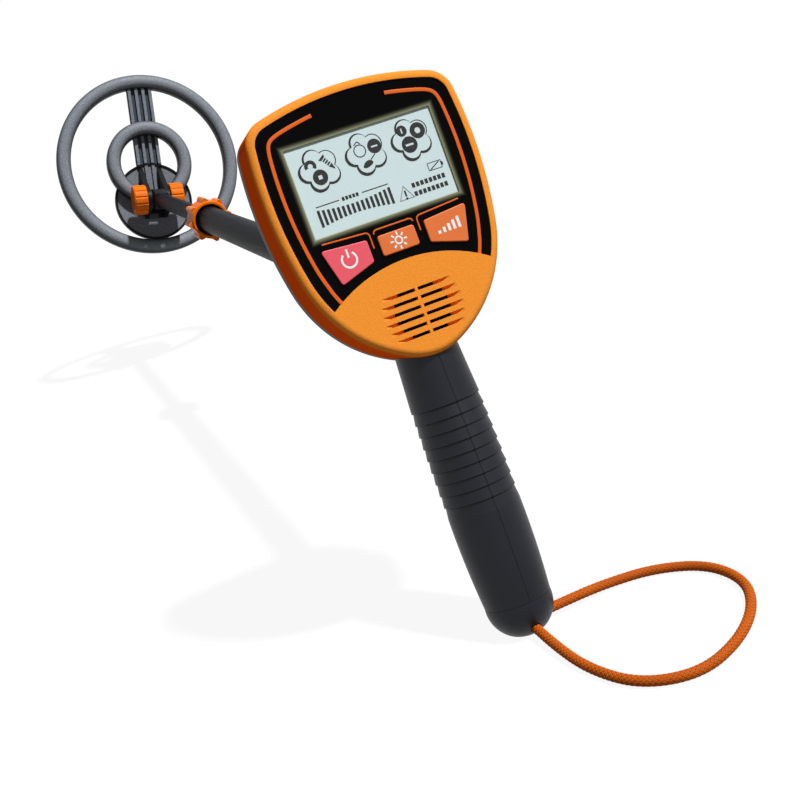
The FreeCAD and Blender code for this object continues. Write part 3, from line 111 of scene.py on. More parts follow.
PANEL = top_of("face_panel")
WINDOW = top_of("display_window")
SCREEN = top_of("lcd_module")
print("panel, window and screen levels:", round(PANEL, 2), round(WINDOW, 2), round(SCREEN, 2))

# %% [markdown]
# The camera stands close to the left of the box, above the grip, and looks along
# the shaft. It is rolled a little, so the box leans to the left. A constraint
# could aim it, but two fixed directions and a place keep the roll as well.

# %% Camera
LENS = 53.1
SENSOR_WIDE = 36
CAMERA_RIGHT = Vector((0.8964, -0.3606, -0.2576))
CAMERA_UP = Vector((0.3514, 0.2241, 0.9090))
CAMERA_AT = Vector((-0.1785, -0.4903, 0.3162))


def add_object(name, data):
    """A new object in the scene, with its data."""
    made = bpy.data.objects.new(name, data)
    bpy.context.scene.collection.objects.link(made)
    return made


camera = add_object("camera", bpy.data.cameras.new("camera"))
camera.data.lens = LENS
camera.data.sensor_width = SENSOR_WIDE
camera.matrix_world = turned_frame(CAMERA_RIGHT, CAMERA_UP, CAMERA_RIGHT.cross(CAMERA_UP),
                                   CAMERA_AT)
bpy.context.scene.camera = camera
print("camera at", tuple(CAMERA_AT), "with a lens of", LENS, "mm")

# %% [markdown]
# Broad daylight falls on the detector from high on the right, behind the camera.
# An area lamp near it would light the box more than the coil, which is nearly a
# metre away, so one sun lamp is used: it is as strong everywhere, and its small
# angle keeps the shadows crisp.

# %% Sun
SUN_FROM = Vector((0.36, -0.34, 0.87))
SUN_POWER = 4.5
SUN_WIDE = 3

sun = add_object("sun", bpy.data.lights.new("sun", "SUN"))
sun.data.energy = SUN_POWER
sun.data.angle = math.radians(SUN_WIDE)
sun.rotation_euler = SUN_FROM.to_track_quat("Z", "Y").to_euler()
print("sun of", SUN_POWER, "from", tuple(SUN_FROM))

# %% [markdown]
# A pattern on a surface is a formula, such as a distance less a width. It could be
# wired up node by node, which soon hides the formula. Here a `Value` wraps the
# output of a shader node, and plus, minus, times and divide on it add Math nodes,
# so the pattern reads as the formula that it is.

# %% Shader values
class Value:
    """The output of a shader node, for use in formulas."""

    def __init__(self, tree, output=None):
        self.tree = tree
        self.output = output

    def node(self, kind, settings=None, inputs=None, give=0):
        """A new node, set up and then fed with numbers or values."""
        made = self.tree.nodes.new("ShaderNode" + kind)
        for name, value in (settings or {}).items():
            if name == "stops":
                set_stops(made.color_ramp.elements, value)
            else:
                setattr(made, name, value)
        for name, value in (inputs or {}).items():
            if isinstance(value, Value):
                self.tree.links.new(value.output, made.inputs[name])
            else:
                made.inputs[name].default_value = value
        return Value(self.tree, made.outputs[give])

    def maths(self, operation, first, second=0.0):
        """A Math node on numbers or values."""
        return self.node("Math", {"operation": operation}, {0: first, 1: second})

    def __add__(self, other):
        return self.maths("ADD", self, other)

    def __sub__(self, other):
        return self.maths("SUBTRACT", self, other)

    def __rsub__(self, other):
        return self.maths("SUBTRACT", other, self)

    def __mul__(self, other):
        return self.maths("MULTIPLY", self, other)

    def __truediv__(self, other):
        return self.maths("DIVIDE", self, other)

    __radd__ = __add__
    __rmul__ = __mul__

    def larger(self, other):
        """The larger of two values."""
        return self.maths("MAXIMUM", self, other)

    def size(self):
        """The value without its sign."""
        return self.maths("ABSOLUTE", self)

    def step(self, low, high):
        """0 below low and 1 above high, with a soft edge between them."""
        return self.node("MapRange", {"interpolation_type": "SMOOTHSTEP"},
                         {"Value": self, "From Min": low, "From Max": high})


def set_stops(elements, stops):
    """Places a ramp's colours."""
    while len(elements) < len(stops):
        elements.new(0.5)
    for element, (place, colour) in zip(elements, stops):
        element.position = place
        element.color = colour


# %% [markdown]
# A `Finish` is a material in the making: its shader, and the object's own
# coordinates, turned to the panel or the coil where a pattern needs it. Unwrapping
# each piece would also give coordinates, but solid patterns need no seams, and
# they run on unbroken over every corner of a moulding.

# %% Finishes
class Finish:
    """A material, its shader and where on the piece a pattern is."""

    def __init__(self, name, place=None, **fixed):
        self.material = bpy.data.materials.new(name)
        self.material.use_nodes = True
        tree = self.material.node_tree
        self.shader = tree.nodes["Principled BSDF"]
        self.spot = Value(tree).node("TexCoord", give="Object")
        if place is not None:
            settings = {"vector_type": "TEXTURE"}
            turn = place.to_euler()
            self.spot = self.spot.node("Mapping", settings, {
                "Vector": self.spot, "Location": place.translation, "Rotation": turn})
        for name_of, value in fixed.items():
            self.set(name_of.replace("_", " "), value)

    def set(self, socket, value):
        """Feeds one socket of the shader."""
        if isinstance(value, Value):
            value.tree.links.new(value.output, self.shader.inputs[socket])
        else:
            self.shader.inputs[socket].default_value = value

    def axis(self, name):
        """One coordinate, in millimetres."""
        return self.spot.node("SeparateXYZ", inputs={0: self.spot}, give=name) / MM

    def noise(self, grain, detail=2.0, rough=0.5):
        """Soft noise with grains of that many millimetres, about 0 to 1."""
        return self.spot.node("TexNoise", inputs={
            "Vector": self.spot, "Scale": 1 / (grain * MM), "Detail": detail,
            "Roughness": rough})

    def mix(self, mask, low, high):
        """One colour where the mask is 0 and the other where it is 1."""
        return self.spot.node("Mix", {"data_type": "RGBA"}, {0: mask, 6: low, 7: high}, 2)

    def bump(self, height, deep):
        """Relief, in millimetres."""
        self.set("Normal", self.spot.node("Bump", inputs={
            "Height": height, "Distance": deep * MM, "Strength": 1.0}))


def tint(red, green, blue):
    """A colour with no transparency."""
    return (red, green, blue, 1.0)


def lighter(colour, times):
    """The same colour, made lighter or darker."""
    return tint(*(min(1, part * times) for part in colour[:3]))


def dress(finish, *names):
    """Gives pieces a finish."""
    for name in names:
        for slot in nodes[name].material_slots:
            slot.link = "OBJECT"
            slot.material = finish.material
    print("finish", finish.material.name, "on", len(names), "pieces")


# %% [markdown]
# The floor only has to carry a light shadow, so a wide plane is enough, and the
# room behind it is as white as the floor, so no curved backdrop is needed. Both
# ask the Light Path node what kind of ray arrives. A direct look and a reflection
# find white, while the light that floor and room give to the object stays low.

# %% Floor and room
ROOM_FILL = 0.10
FLOOR_WIDE = 30
FLOOR_GREY = 0.25
FLOOR_GLOW = 1.32
FLOOR_SHARE = 0.7


def looked_at(start):
    """1 for a ray that looks directly, in a reflection or through glass."""
    seen = start.node("LightPath", give="Is Camera Ray")
    for ray in ("Is Glossy Ray", "Is Transmission Ray"):
        seen = seen.larger(start.node("LightPath", give=ray))
    return seen


def make_floor():
    """A pale floor that keeps a light shadow and is white to the camera."""
    bpy.ops.mesh.primitive_plane_add(size=FLOOR_WIDE)
    floor = bpy.context.object
    floor.name = "floor"
    material = bpy.data.materials.new("floor")
    material.use_nodes = True
    tree = material.node_tree
    shader = tree.nodes["Principled BSDF"]
    shader.inputs["Base Color"].default_value = tint(FLOOR_GREY, FLOOR_GREY, FLOOR_GREY)
    shader.inputs["Roughness"].default_value = 0.9
    shader.inputs["Specular IOR Level"].default_value = 0.0
    start = Value(tree)
    white = start.node("Emission", inputs={"Color": tint(1, 1, 1), "Strength": FLOOR_GLOW})
    both = start.node("MixShader", inputs={0: looked_at(start) * FLOOR_SHARE, 2: white})
    tree.links.new(shader.outputs[0], both.output.node.inputs[1])
    tree.links.new(both.output, tree.nodes["Material Output"].inputs["Surface"])
    floor.data.materials.append(material)


def make_room():
    """A room that is white where it is seen and softer where it lights."""
    world = bpy.data.worlds.new("room")
    bpy.context.scene.world = world
    world.use_nodes = True
    tree = world.node_tree
    strength = ROOM_FILL + looked_at(Value(tree)) * (1 - ROOM_FILL)
    tree.links.new(strength.output, tree.nodes["Background"].inputs["Strength"])
    tree.nodes["Background"].inputs["Color"].default_value = tint(1, 1, 1)


make_floor()
make_room()
bpy.context.scene.view_settings.view_transform = "Standard"
print("floor", FLOOR_WIDE, "m wide, room fill", ROOM_FILL)

# %% [markdown]
# The front moulding is orange plastic from a spark-eroded mould, and the lock
# collar and hand nuts are smoother nylon. A flat colour with low roughness would
# look like paint. The mould's grain glitters in hard light instead, so relief and
# roughness share one noise. The sides get painted shade, a deeper orange than the
# grained face, which is told by height above the panel, and the window's seat is
# masked black.

# %% Orange mouldings
ORANGE = tint(0.90, 0.300, 0.036)
# The sides' colour is painted shade: a deeper, redder orange than the lit face.
SHADED_SIDE_ORANGE = tint(0.96, 0.110, 0.008)
DEEP_ORANGE = tint(0.80, 0.165, 0.008)
SCREEN_HALF = (38.25, 22.0)
FACE_EDGE = 3.2
MASK_EDGE = (0.8, 1.2)


def past_screen(finish):
    """How far a point is outside the window's opening, in millimetres."""
    side = finish.axis("X").size() - SCREEN_HALF[0]
    end = finish.axis("Y").size() - SCREEN_HALF[1]
    return side.larger(end)


def grained_orange():
    """Moulded plastic with a spark-eroded grain and painted shade on its sides, a deeper orange.
    """
    finish = Finish("orange_moulding", FACE, Specular_IOR_Level=0.0)
    grain = finish.noise(0.7, 3.0, 0.6)
    cloud = finish.noise(28, 2.0)
    face = finish.mix(grain.step(0.35, 0.7), lighter(ORANGE, 0.90), lighter(ORANGE, 1.08))
    # Painted shade: below the rim, the sides take the shaded orange.
    in_front = finish.axis("Z").step(PANEL - FACE_EDGE, PANEL)
    plastic = finish.mix(in_front, SHADED_SIDE_ORANGE, face)
    masked = 1 - past_screen(finish).step(*MASK_EDGE)
    finish.set("Base Color", finish.mix(masked, plastic, tint(0.01, 0.01, 0.01)))
    finish.set("Roughness", 0.40 + grain * 0.16 + cloud * 0.05)
    finish.bump(grain, 0.09)
    return finish


def glossy_orange():
    """Smooth nylon, a little cloudy, as thick mouldings are."""
    finish = Finish("orange_nylon", Specular_IOR_Level=0.03)
    cloud = finish.noise(6, 2.0)
    speck = finish.noise(0.35, 2.0)
    finish.set("Base Color", finish.mix(cloud, lighter(DEEP_ORANGE, 0.94),
                                        lighter(DEEP_ORANGE, 1.08)))
    finish.set("Roughness", 0.24 + speck * 0.12)
    finish.bump(cloud * 0.5 + speck * 0.2, 0.03)
    return finish


dress(grained_orange(), "front_housing")
dress(glossy_orange(), "lock_collar", "knob_right", "knob_left")

# %% [markdown]
# The panel is a gloss black label, and a little of the screen's light leaks past
# the edge of the window. A lamp behind the window could make that glow, but it
# would be lost when the model is used elsewhere, so it is a colour that fades with
# the distance from the opening. The window itself is a nearly clear sheet: alpha
# is enough for one so thin, and renders quicker than real refraction.

# %% Panel, window and screen
GLOW_EDGE = (-0.6, 3.4)
CELL_EDGE = (-1.0, 0.5)


def panel_gloss():
    """Gloss black that warms to a pale rim at the window."""
    finish = Finish("panel_gloss", FACE, Specular_IOR_Level=0.03)
    glow = 1 - past_screen(finish).step(*GLOW_EDGE)
    finish.set("Base Color", finish.mix(glow * glow, tint(0.0015, 0.0015, 0.0015),
                                        tint(0.30, 0.31, 0.19)))
    finish.set("Roughness", 0.16 + finish.noise(4, 3.0) * 0.10)
    finish.bump(finish.noise(0.8, 2.0), 0.004)
    return finish


def clear_window():
    """A thin clear sheet, with the faint haze of wiped plastic."""
    finish = Finish("clear_window", FACE, Base_Color=tint(0.3, 0.32, 0.32), IOR=1.45)
    finish.set("Alpha", 0.02 + finish.noise(9, 2.0) * 0.015)
    finish.set("Roughness", 0.04 + finish.noise(3, 2.0) * 0.04)
    return finish


def screen_cell():
    """The pale ground of the liquid crystal, warmer round its edge."""
    finish = Finish("screen_cell", FACE, Specular_IOR_Level=0.2)
    edge = past_screen(finish).step(*CELL_EDGE)
    mottle = finish.noise(14, 2.0)
    pale = finish.mix(mottle, tint(0.60, 0.73, 0.74), tint(0.64, 0.76, 0.775))
    finish.set("Base Color", finish.mix(edge, pale, tint(0.42, 0.44, 0.29)))
    finish.set("Roughness", 0.5 + finish.noise(0.6, 1.0) * 0.1)
    return finish


dress(panel_gloss(), "face_panel")
dress(clear_window(), "display_window")
dress(screen_cell(), "lcd_module")

# %% [markdown]
# The keys are moulded silicone with a satin skin. Their sides get painted shade,
# a deeper colour than their tops. The tops could be faces with a material of their
# own, but then the border is as hard as a cut, so height above the panel blends the
# two. Red and orange differ only in colour, so one function makes both.

# %% Keys
KEY_EDGE = (0.55, 0.12)


def key_skin(name, colour, side):
    """Satin silicone with its colour on top and painted shade on the side."""
    finish = Finish(name, FACE, Specular_IOR_Level=0.2)
    cloud = finish.noise(5, 2.0)
    skin = finish.noise(0.25, 2.0)
    top = finish.mix(cloud, lighter(colour, 0.95), lighter(colour, 1.05))
    level = top_of("power_button")
    on_top = finish.axis("Z").step(level - KEY_EDGE[0], level - KEY_EDGE[1])
    # Painted shade: the key's sides take the dark colour, its top the key's own.
    finish.set("Base Color", finish.mix(on_top, side, top))
    finish.set("Roughness", 0.34 + skin * 0.12)
    finish.bump(skin, 0.012)
    return finish


# The second colour of each key is painted shade for its sides.
dress(key_skin("key_red", tint(0.80, 0.105, 0.140), tint(0.25, 0.004, 0.006)),
      "power_button")
dress(key_skin("key_orange", tint(0.74, 0.175, 0.045), tint(0.40, 0.035, 0.003)),
      "backlight_button", "mode_button")

# %% [markdown]
# Everything that the hand holds or that carries load is black: a grained grip in
# two halves, a lacquered tube and plain nylon. One black for all would be quicker
# and dull, so they differ in grain and gloss. The grip is dark along its seam, and
# the tube has faint lengthwise scuffs from sliding, which are a noise stretched
# along the tube.

# %% Black plastics and the tubes
SEAM_HALF = 0.32
NO_SEAM = 0.001


def grip_skin(name, seam_half):
    """Grained black plastic, dark along a seam in the middle if it has one."""
    finish = Finish(name, Specular_IOR_Level=0.26)
    grain = finish.noise(0.45, 3.0, 0.65)
    cloud = finish.noise(22, 2.0)
    skin = finish.mix(cloud, tint(0.003, 0.004, 0.008), tint(0.007, 0.008, 0.014))
    seam = 1 - finish.axis("X").size().step(seam_half / 2, seam_half)
    finish.set("Base Color", finish.mix(seam, skin, tint(0.001, 0.001, 0.001)))
    finish.set("Roughness", 0.34 + grain * 0.16 + seam * 0.4)
    finish.bump(grain - seam * 3, 0.10)
    return finish


def black_nylon():
    """Plain black nylon with a fine, dull grain."""
    finish = Finish("black_nylon", Specular_IOR_Level=0.12)
    grain = finish.noise(0.6, 3.0)
    cloud = finish.noise(16, 2.0)
    finish.set("Base Color", finish.mix(cloud, tint(0.006, 0.006, 0.008),
                                        tint(0.011, 0.011, 0.014)))
    finish.set("Roughness", 0.38 + grain * 0.18)
    finish.bump(grain, 0.03)
    return finish


def tube_lacquer():
    """Black lacquer with lengthwise scuffs."""
    finish = Finish("tube_lacquer", Specular_IOR_Level=0.015)
    stretch = finish.spot.node("Mapping", inputs={"Vector": finish.spot,
                                                  "Scale": (1, 0.03, 1)})
    scuff = finish.spot.node("TexNoise", inputs={"Vector": stretch, "Scale": 900.0,
                                                 "Detail": 3.0})
    cloud = finish.noise(30, 2.0)
    finish.set("Base Color", finish.mix(scuff.step(0.55, 0.8), tint(0.006, 0.007, 0.010),
                                        tint(0.014, 0.015, 0.020)))
    finish.set("Roughness", 0.30 + scuff * 0.14 + cloud * 0.06)
    finish.bump(scuff, 0.006)
    return finish


dress(grip_skin("grip_skin", SEAM_HALF), "grip_left", "grip_right")
dress(grip_skin("cap_skin", NO_SEAM), "grip_end_cap")
dress(black_nylon(), "rear_cover", "battery_door", "tube_ferrule", "shaft_stop",
      "shaft_tongue", "coil_bracket", "key_switches")
dress(tube_lacquer(), "upper_tube", "lower_tube")

# %% [markdown]
# The coil is grey, flecked plastic, with painted light on the crowns of its rings
# and painted shade on their skirts. The spoke is the same plastic, with painted
# shade in the channels between its ribs, and the hub disc has a black rim. Painting
# these by hand would need an image, and all of them are plain heights and
# distances in the coil's own frame, so formulas give them.

# %% Coil plastics
HUB_AHEAD = 2.4
HUB_RIM = 37.6
RIM_INNER = (-0.3, 0.1)
RIM_OUTER = (2.6, 3.2)
SPOKE_SOFT = 3
CHANNEL_FLOOR = 4.4
RIB_CREST = 0.4
CROWN_DEEP = 5.5


def coil_grey(ring):
    """Flecked grey with painted light on the crown of a ring and painted shade on its skirts."""
    finish = Finish(ring + "_grey", COIL, Specular_IOR_Level=0.06)
    fleck = finish.noise(0.9, 4.0, 0.7)
    cloud = finish.noise(18, 3.0)
    crown = levels(ring, COIL)[1]
    # Painted light and shade: each ring is pale on its crown and dark on its skirts.
    lit_crown = finish.axis("Z").step(crown - CROWN_DEEP, crown)
    pale = finish.mix(fleck.step(0.4, 0.65), tint(0.160, 0.172, 0.196),
                      tint(0.330, 0.352, 0.392))
    finish.set("Base Color", finish.mix(lit_crown, tint(0.022, 0.026, 0.032), pale))
    finish.set("Roughness", 0.30 + fleck * 0.14 + cloud * 0.06)
    finish.bump(fleck, 0.03)
    return finish


def web_grey():
    """The same grey, with painted shade in the channels of the spoke and a black rim on the hub.
    """
    finish = Finish("web_grey", COIL, Specular_IOR_Level=0.06)
    fleck = finish.noise(0.9, 4.0, 0.7)
    x, y, z = (finish.axis(name) for name in "XYZ")
    low, top = levels("coil_web", COIL)
    shaded_channel = 1 - z.step(low + CHANNEL_FLOOR, top - RIB_CREST)
    ahead = y - HUB_AHEAD
    on_spoke = ahead.step(HUB_RIM - SPOKE_SOFT, HUB_RIM + SPOKE_SOFT)
    past_rim = finish.spot.maths("SQRT", ahead * ahead + x * x) - HUB_RIM
    rim = past_rim.step(*RIM_INNER) * (1 - past_rim.step(*RIM_OUTER))
    grey = finish.mix(fleck.step(0.4, 0.65), tint(0.135, 0.145, 0.165),
                      tint(0.260, 0.275, 0.305))
    # Painted shade: the channels between the spoke's ribs take a dark blue-grey.
    channel = finish.mix(shaded_channel * on_spoke, grey, tint(0.050, 0.064, 0.082))
    finish.set("Base Color", finish.mix(rim, channel, tint(0.010, 0.010, 0.012)))
    finish.set("Roughness", 0.34 + fleck * 0.16)
    finish.bump(fleck, 0.03)
    return finish


def coil_black():
    """Black plastic that the ground has scraped a little."""
    finish = Finish("coil_black", Specular_IOR_Level=0.35)
    scrape = finish.noise(7, 4.0, 0.65)
    finish.set("Base Color", finish.mix(scrape.step(0.5, 0.72), tint(0.016, 0.016, 0.018),
                                        tint(0.050, 0.050, 0.052)))
    finish.set("Roughness", 0.45 + scrape * 0.2)
    finish.bump(scrape, 0.03)
    return finish


dress(coil_grey("outer_ring"), "outer_ring")
dress(coil_grey("inner_ring"), "inner_ring")
dress(web_grey(), "coil_web")
dress(coil_black(), "outer_ring_base", "inner_ring_base")

# %% [markdown]
# The pieces inside are seen only when the box is open or through a slot, and one
# grey would do for most views. They get their real stuff too, because the door
# does open: zinc-plated screws, lacquered copper, laminate, shrink wrap on the
# cells, and paper on the loudspeaker. Each is one noise at the size of its grain.

# %% Metals
def zinc():
    """Zinc plate, cloudy from the bath."""
    finish = Finish("zinc_plate", Metallic=1.0)
    cloud = finish.noise(0.8, 3.0)
    finish.set("Base Color", finish.mix(cloud, tint(0.50, 0.50, 0.49), tint(0.66, 0.65, 0.62)))
    finish.set("Roughness", 0.28 + cloud * 0.2)
    finish.bump(cloud, 0.006)
    return finish


def magnet_wire():
    """Lacquered copper wire in many turns."""
    finish = Finish("magnet_wire", Metallic=1.0)
    turns = finish.noise(0.5, 2.0)
    finish.set("Base Color", finish.mix(turns, tint(0.40, 0.12, 0.04), tint(0.62, 0.24, 0.08)))
    finish.set("Roughness", 0.25 + turns * 0.2)
    finish.bump(turns, 0.05)
    return finish


dress(zinc(), "case_screws", "board_screws", "grip_screws", "shaft_screw",
      "battery_contacts")
dress(magnet_wire(), "outer_winding", "inner_winding")

# %% [markdown]
# The other inner pieces are laminate, film, paper, nylon and rubber. Boards and
# cells have a pattern with a hard edge, and a step on a noise or on a coordinate
# makes one as sharp as a print without any image.

# %% Inner pieces and small fittings
BAND_AT = 8.0
BAND_SOFT = 0.4


def laminate():
    """Green board with its traces under the mask."""
    finish = Finish("laminate", FACE, Specular_IOR_Level=0.5)
    traces = finish.noise(2.4, 1.0).step(0.5, 0.53)
    finish.set("Base Color", finish.mix(traces, tint(0.010, 0.085, 0.030),
                                        tint(0.022, 0.140, 0.050)))
    finish.set("Roughness", 0.3 + finish.noise(1.5) * 0.1)
    finish.bump(traces, 0.02)
    return finish


def cell_wrap():
    """A dark shrink wrap with a copper-coloured end."""
    finish = Finish("cell_wrap", FACE, Specular_IOR_Level=0.5)
    band = finish.axis("X").step(BAND_AT, BAND_AT + BAND_SOFT)
    finish.set("Base Color", finish.mix(band, tint(0.05, 0.06, 0.08), tint(0.55, 0.36, 0.12)))
    finish.set("Roughness", 0.26 + finish.noise(3) * 0.12)
    return finish


def speaker_paper():
    """Black paper with visible fibres."""
    finish = Finish("speaker_paper", Specular_IOR_Level=0.2)
    fibre = finish.noise(0.7, 4.0, 0.7)
    finish.set("Base Color", finish.mix(fibre, tint(0.010, 0.009, 0.009),
                                        tint(0.028, 0.025, 0.023)))
    finish.set("Roughness", 0.75 + fibre * 0.15)
    finish.bump(fibre, 0.06)
    return finish


def pale_nylon():
    """Undyed nylon."""
    finish = Finish("pale_nylon", Specular_IOR_Level=0.5)
    cloud = finish.noise(3, 2.0)
    finish.set("Base Color", finish.mix(cloud, tint(0.55, 0.54, 0.50), tint(0.66, 0.65, 0.61)))
    finish.set("Roughness", 0.35 + cloud * 0.12)
    finish.bump(finish.noise(0.5), 0.01)
    return finish


def washer_rubber():
    """Dusty black rubber."""
    finish = Finish("washer_rubber", Specular_IOR_Level=0.3)
    dust = finish.noise(1.2, 3.0)
    finish.set("Base Color", finish.mix(dust, tint(0.014, 0.014, 0.014), tint(0.03, 0.03, 0.03)))
    finish.set("Roughness", 0.7 + dust * 0.15)
    finish.bump(dust, 0.03)
    return finish


dress(laminate(), "circuit_board")
dress(cell_wrap(), "battery_cells")
dress(speaker_paper(), "speaker")
dress(pale_nylon(), "guide_bush", "hinge_bolt")
dress(washer_rubber(), "hinge_washers")

# %% [markdown]
# The wrist strap is a braided cord that leaves the foot of the grip, lies in a
# loose loop on the ground beside it and goes back in at the side. It could be
# dropped by a cloth simulation, but a spline whose control points are listed is
# steady, and its length can be read from it.

# %% Strap line
STRAP_ROUTE = [
    (0, -8.3, 5), (0, -29, 3.9), (3, -57, 2.7), (14, -83, 2.7), (38, -95, 2.7),
    (64, -87, 2.7), (86, -70, 2.7), (99, -47, 2.7), (95, -21, 2.7), (74, -4, 2.7),
    (49, 1, 3.4), (28, 0, 5), (8.3, 0, 5)]
STRAP_RADIUS = 2.6
STRAP_CORE = 2.45
SPLINE_STEPS = 16
SPLINE_ORDER = 3
TUBE_STEPS = 4


def strap_curve(name, radius):
    """The strap's spline, as a tube of that radius or as a bare line."""
    line = bpy.data.curves.new(name, "CURVE")
    line.dimensions = "3D"
    line.resolution_u = SPLINE_STEPS
    line.bevel_depth = radius * MM
    line.bevel_resolution = TUBE_STEPS
    line.use_fill_caps = radius > 0
    spline = line.splines.new("NURBS")
    spline.points.add(len(STRAP_ROUTE) - 1)
    for point, place in zip(spline.points, STRAP_ROUTE):
        point.co = (place[0] * MM, place[1] * MM, place[2] * MM, 1)
    spline.order_u = SPLINE_ORDER
    spline.use_endpoint_u = True
    return add_object(name, line)


def spline_points():
    """Points along the strap's spline, read from the curve itself."""
    bare = strap_curve("strap_line", 0)
    depsgraph = bpy.context.evaluated_depsgraph_get()
    mesh = bpy.data.meshes.new_from_object(bare.evaluated_get(depsgraph))
    points = [vertex.co.copy() for vertex in mesh.vertices]
    bpy.data.meshes.remove(mesh)
    bpy.data.objects.remove(bare)
    return points


strap = strap_curve("strap_core", STRAP_CORE)
strap_points = spline_points()
strap_length = sum((b - a).length for a, b in zip(strap_points, strap_points[1:]))
print("strap length:", round(strap_length, 4), "from", len(strap_points), "points")

# %% [markdown]
# The braid is real thread: twelve bundles wind each way round the core and pass
# over and under each other where they cross. A bump map could suggest it, but the
# strap's edge would stay smooth. So each bundle is a ribbon, five points across
# and slightly crowned, swept along a helix on the spline.

# %% Strap braid
BUNDLES = 12
BRAID_PITCH = 15.0
BUNDLE_HALF = 0.46
BRAID_LOW = 2.38
BRAID_HIGH = 2.66
BRAID_STEP = 0.42
BUNDLE_CROWN = 0.16
ACROSS_BUNDLE = (-1, -0.5, 0, 0.5, 1)


def along(points, distance):
    """The place and direction at a distance along the strap."""
    for first, second in zip(points, points[1:]):
        run = (second - first).length
        if distance <= run:
            return first.lerp(second, distance / run), (second - first).normalized()
        distance -= run
    return points[-1].copy(), (points[-1] - points[-2]).normalized()


def braid_rings(points, length):
    """Places and turning frames at even steps along the strap."""
    count = int(length / (BRAID_STEP * MM))
    side = Vector((1, 0, 0))
    rings = []
    for index in range(count + 1):
        place, ahead = along(points, length * index / count)
        side = (side - ahead * side.dot(ahead)).normalized()
        rings.append((place, side, ahead.cross(side), length * index / count / MM))
    return rings


def add_bundle(mesh, rings, hand, start):
    """One ribbon of thread, which rises and dips at each crossing."""
    before = None
    for place, side, up, travelled in rings:
        turn = hand * math.tau * travelled / BRAID_PITCH + start
        weave = math.cos(BUNDLES * (math.tau * travelled / BRAID_PITCH) + hand * math.pi / 2
                         - hand * BUNDLES * start / 2)
        level = BRAID_LOW + (BRAID_HIGH - BRAID_LOW) * (0.5 + 0.5 * hand * weave)
        row = []
        for offset in ACROSS_BUNDLE:
            angle = turn + offset * BUNDLE_HALF / STRAP_RADIUS * hand
            radius = (level - BUNDLE_CROWN * offset * offset) * MM
            row.append(mesh.verts.new(place + (side * math.cos(angle)
                                               + up * math.sin(angle)) * radius))
        if before:
            for a, b, c, d in zip(before, before[1:], row[1:], row):
                mesh.faces.new((a, b, c, d) if hand > 0 else (d, c, b, a))
        before = row


def make_braid():
    """All the bundles, as one mesh."""
    mesh = bmesh.new()
    rings = braid_rings(strap_points, strap_length)
    for hand in (1, -1):
        for number in range(BUNDLES):
            add_bundle(mesh, rings, hand, math.tau * number / BUNDLES)
    data = bpy.data.meshes.new("strap_braid")
    mesh.to_mesh(data)
    mesh.free()
    for face in data.polygons:
        face.use_smooth = True
    return add_object("strap_braid", data)


braid = make_braid()
print("braid faces:", len(braid.data.polygons))

# %% [markdown]
# The thread is dyed polyester, and each bundle catches the light a little
# differently. One flat orange would hide the braid, so a fine noise gives the
# fibres and a broad one the fading. The core shows only in the gaps, and is the
# same thread in shade. Core and braid then ride on the handle as one cord.

# %% Strap thread
STRAP_ORANGE = tint(0.62, 0.120, 0.006)
CORE_SHADE = 0.35


def braided_thread(name, colour):
    """Dyed thread with its fibres."""
    finish = Finish(name, Specular_IOR_Level=0.12)
    thread = finish.noise(0.22, 2.0)
    cloud = finish.noise(12, 2.0)
    finish.set("Base Color", finish.mix(thread * 0.7 + cloud * 0.3, lighter(colour, 0.62),
                                        lighter(colour, 1.15)))
    finish.set("Roughness", 0.55 + thread * 0.2)
    finish.bump(thread, 0.05)
    return finish


braid.data.materials.append(braided_thread("strap_thread", STRAP_ORANGE).material)
core_orange = lighter(STRAP_ORANGE, CORE_SHADE)
strap.data.materials.append(braided_thread("strap_core", core_orange).material)
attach(strap, "handle")
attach(braid, "handle")
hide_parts("wrist_strap")
print("strap rides on the handle and replaces the plain one")

# %% [markdown]
# Prints are thin layers of ink. They could be an image on the panel, but shapes
# stay sharp at any distance and need no file. A line of ink is a round curve that
# is pressed flat, so its edges are soft, and a solid mark is a flat filled
# outline. Both are drawn in millimetres on the panel and then laid on the surface.

# %% Ink
INK = 0.05


def as_mesh(piece):
    """Makes a curve a mesh."""
    bpy.ops.object.select_all(action="DESELECT")
    piece.select_set(True)
    bpy.context.view_layer.objects.active = piece
    bpy.ops.object.convert(target="MESH")
    return bpy.context.object


def lay_ink(piece, level, body, finish):
    """Presses a mesh on the panel and gives it its ink."""
    piece.data.transform(FACE @ Matrix.Diagonal((MM, MM, MM, 1))
                         @ Matrix.Translation((0, 0, level)))
    piece.data.materials.clear()
    piece.data.materials.append(finish.material)
    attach(piece, body)
    return piece


def ink_curve(name, outlines, closed):
    """A curve with one straight-sided spline for each outline."""
    line = bpy.data.curves.new(name, "CURVE")
    for points in outlines:
        spline = line.splines.new("POLY")
        spline.points.add(len(points) - 1)
        for point, (x, y) in zip(spline.points, points):
            point.co = (x, y, 0, 1)
        spline.use_cyclic_u = closed
    return add_object(name, line)


def ink_lines(name, outlines, width, level, body, finish, closed=False):
    """Lines of ink of one width."""
    piece = ink_curve(name, outlines, closed)
    piece.data.dimensions = "3D"
    piece.data.bevel_depth = width / 2
    piece.data.bevel_resolution = 2
    piece.data.use_fill_caps = True
    piece = as_mesh(piece)
    piece.data.transform(Matrix.Diagonal((1, 1, 2 * INK / width, 1)))
    return lay_ink(piece, level, body, finish)


def ink_shapes(name, outlines, level, body, finish):
    """Solid marks; an outline inside another is a hole."""
    piece = ink_curve(name, outlines, True)
    piece.data.dimensions = "2D"
    piece.data.fill_mode = "BOTH"
    piece.data.extrude = INK
    return lay_ink(as_mesh(piece), level, body, finish)


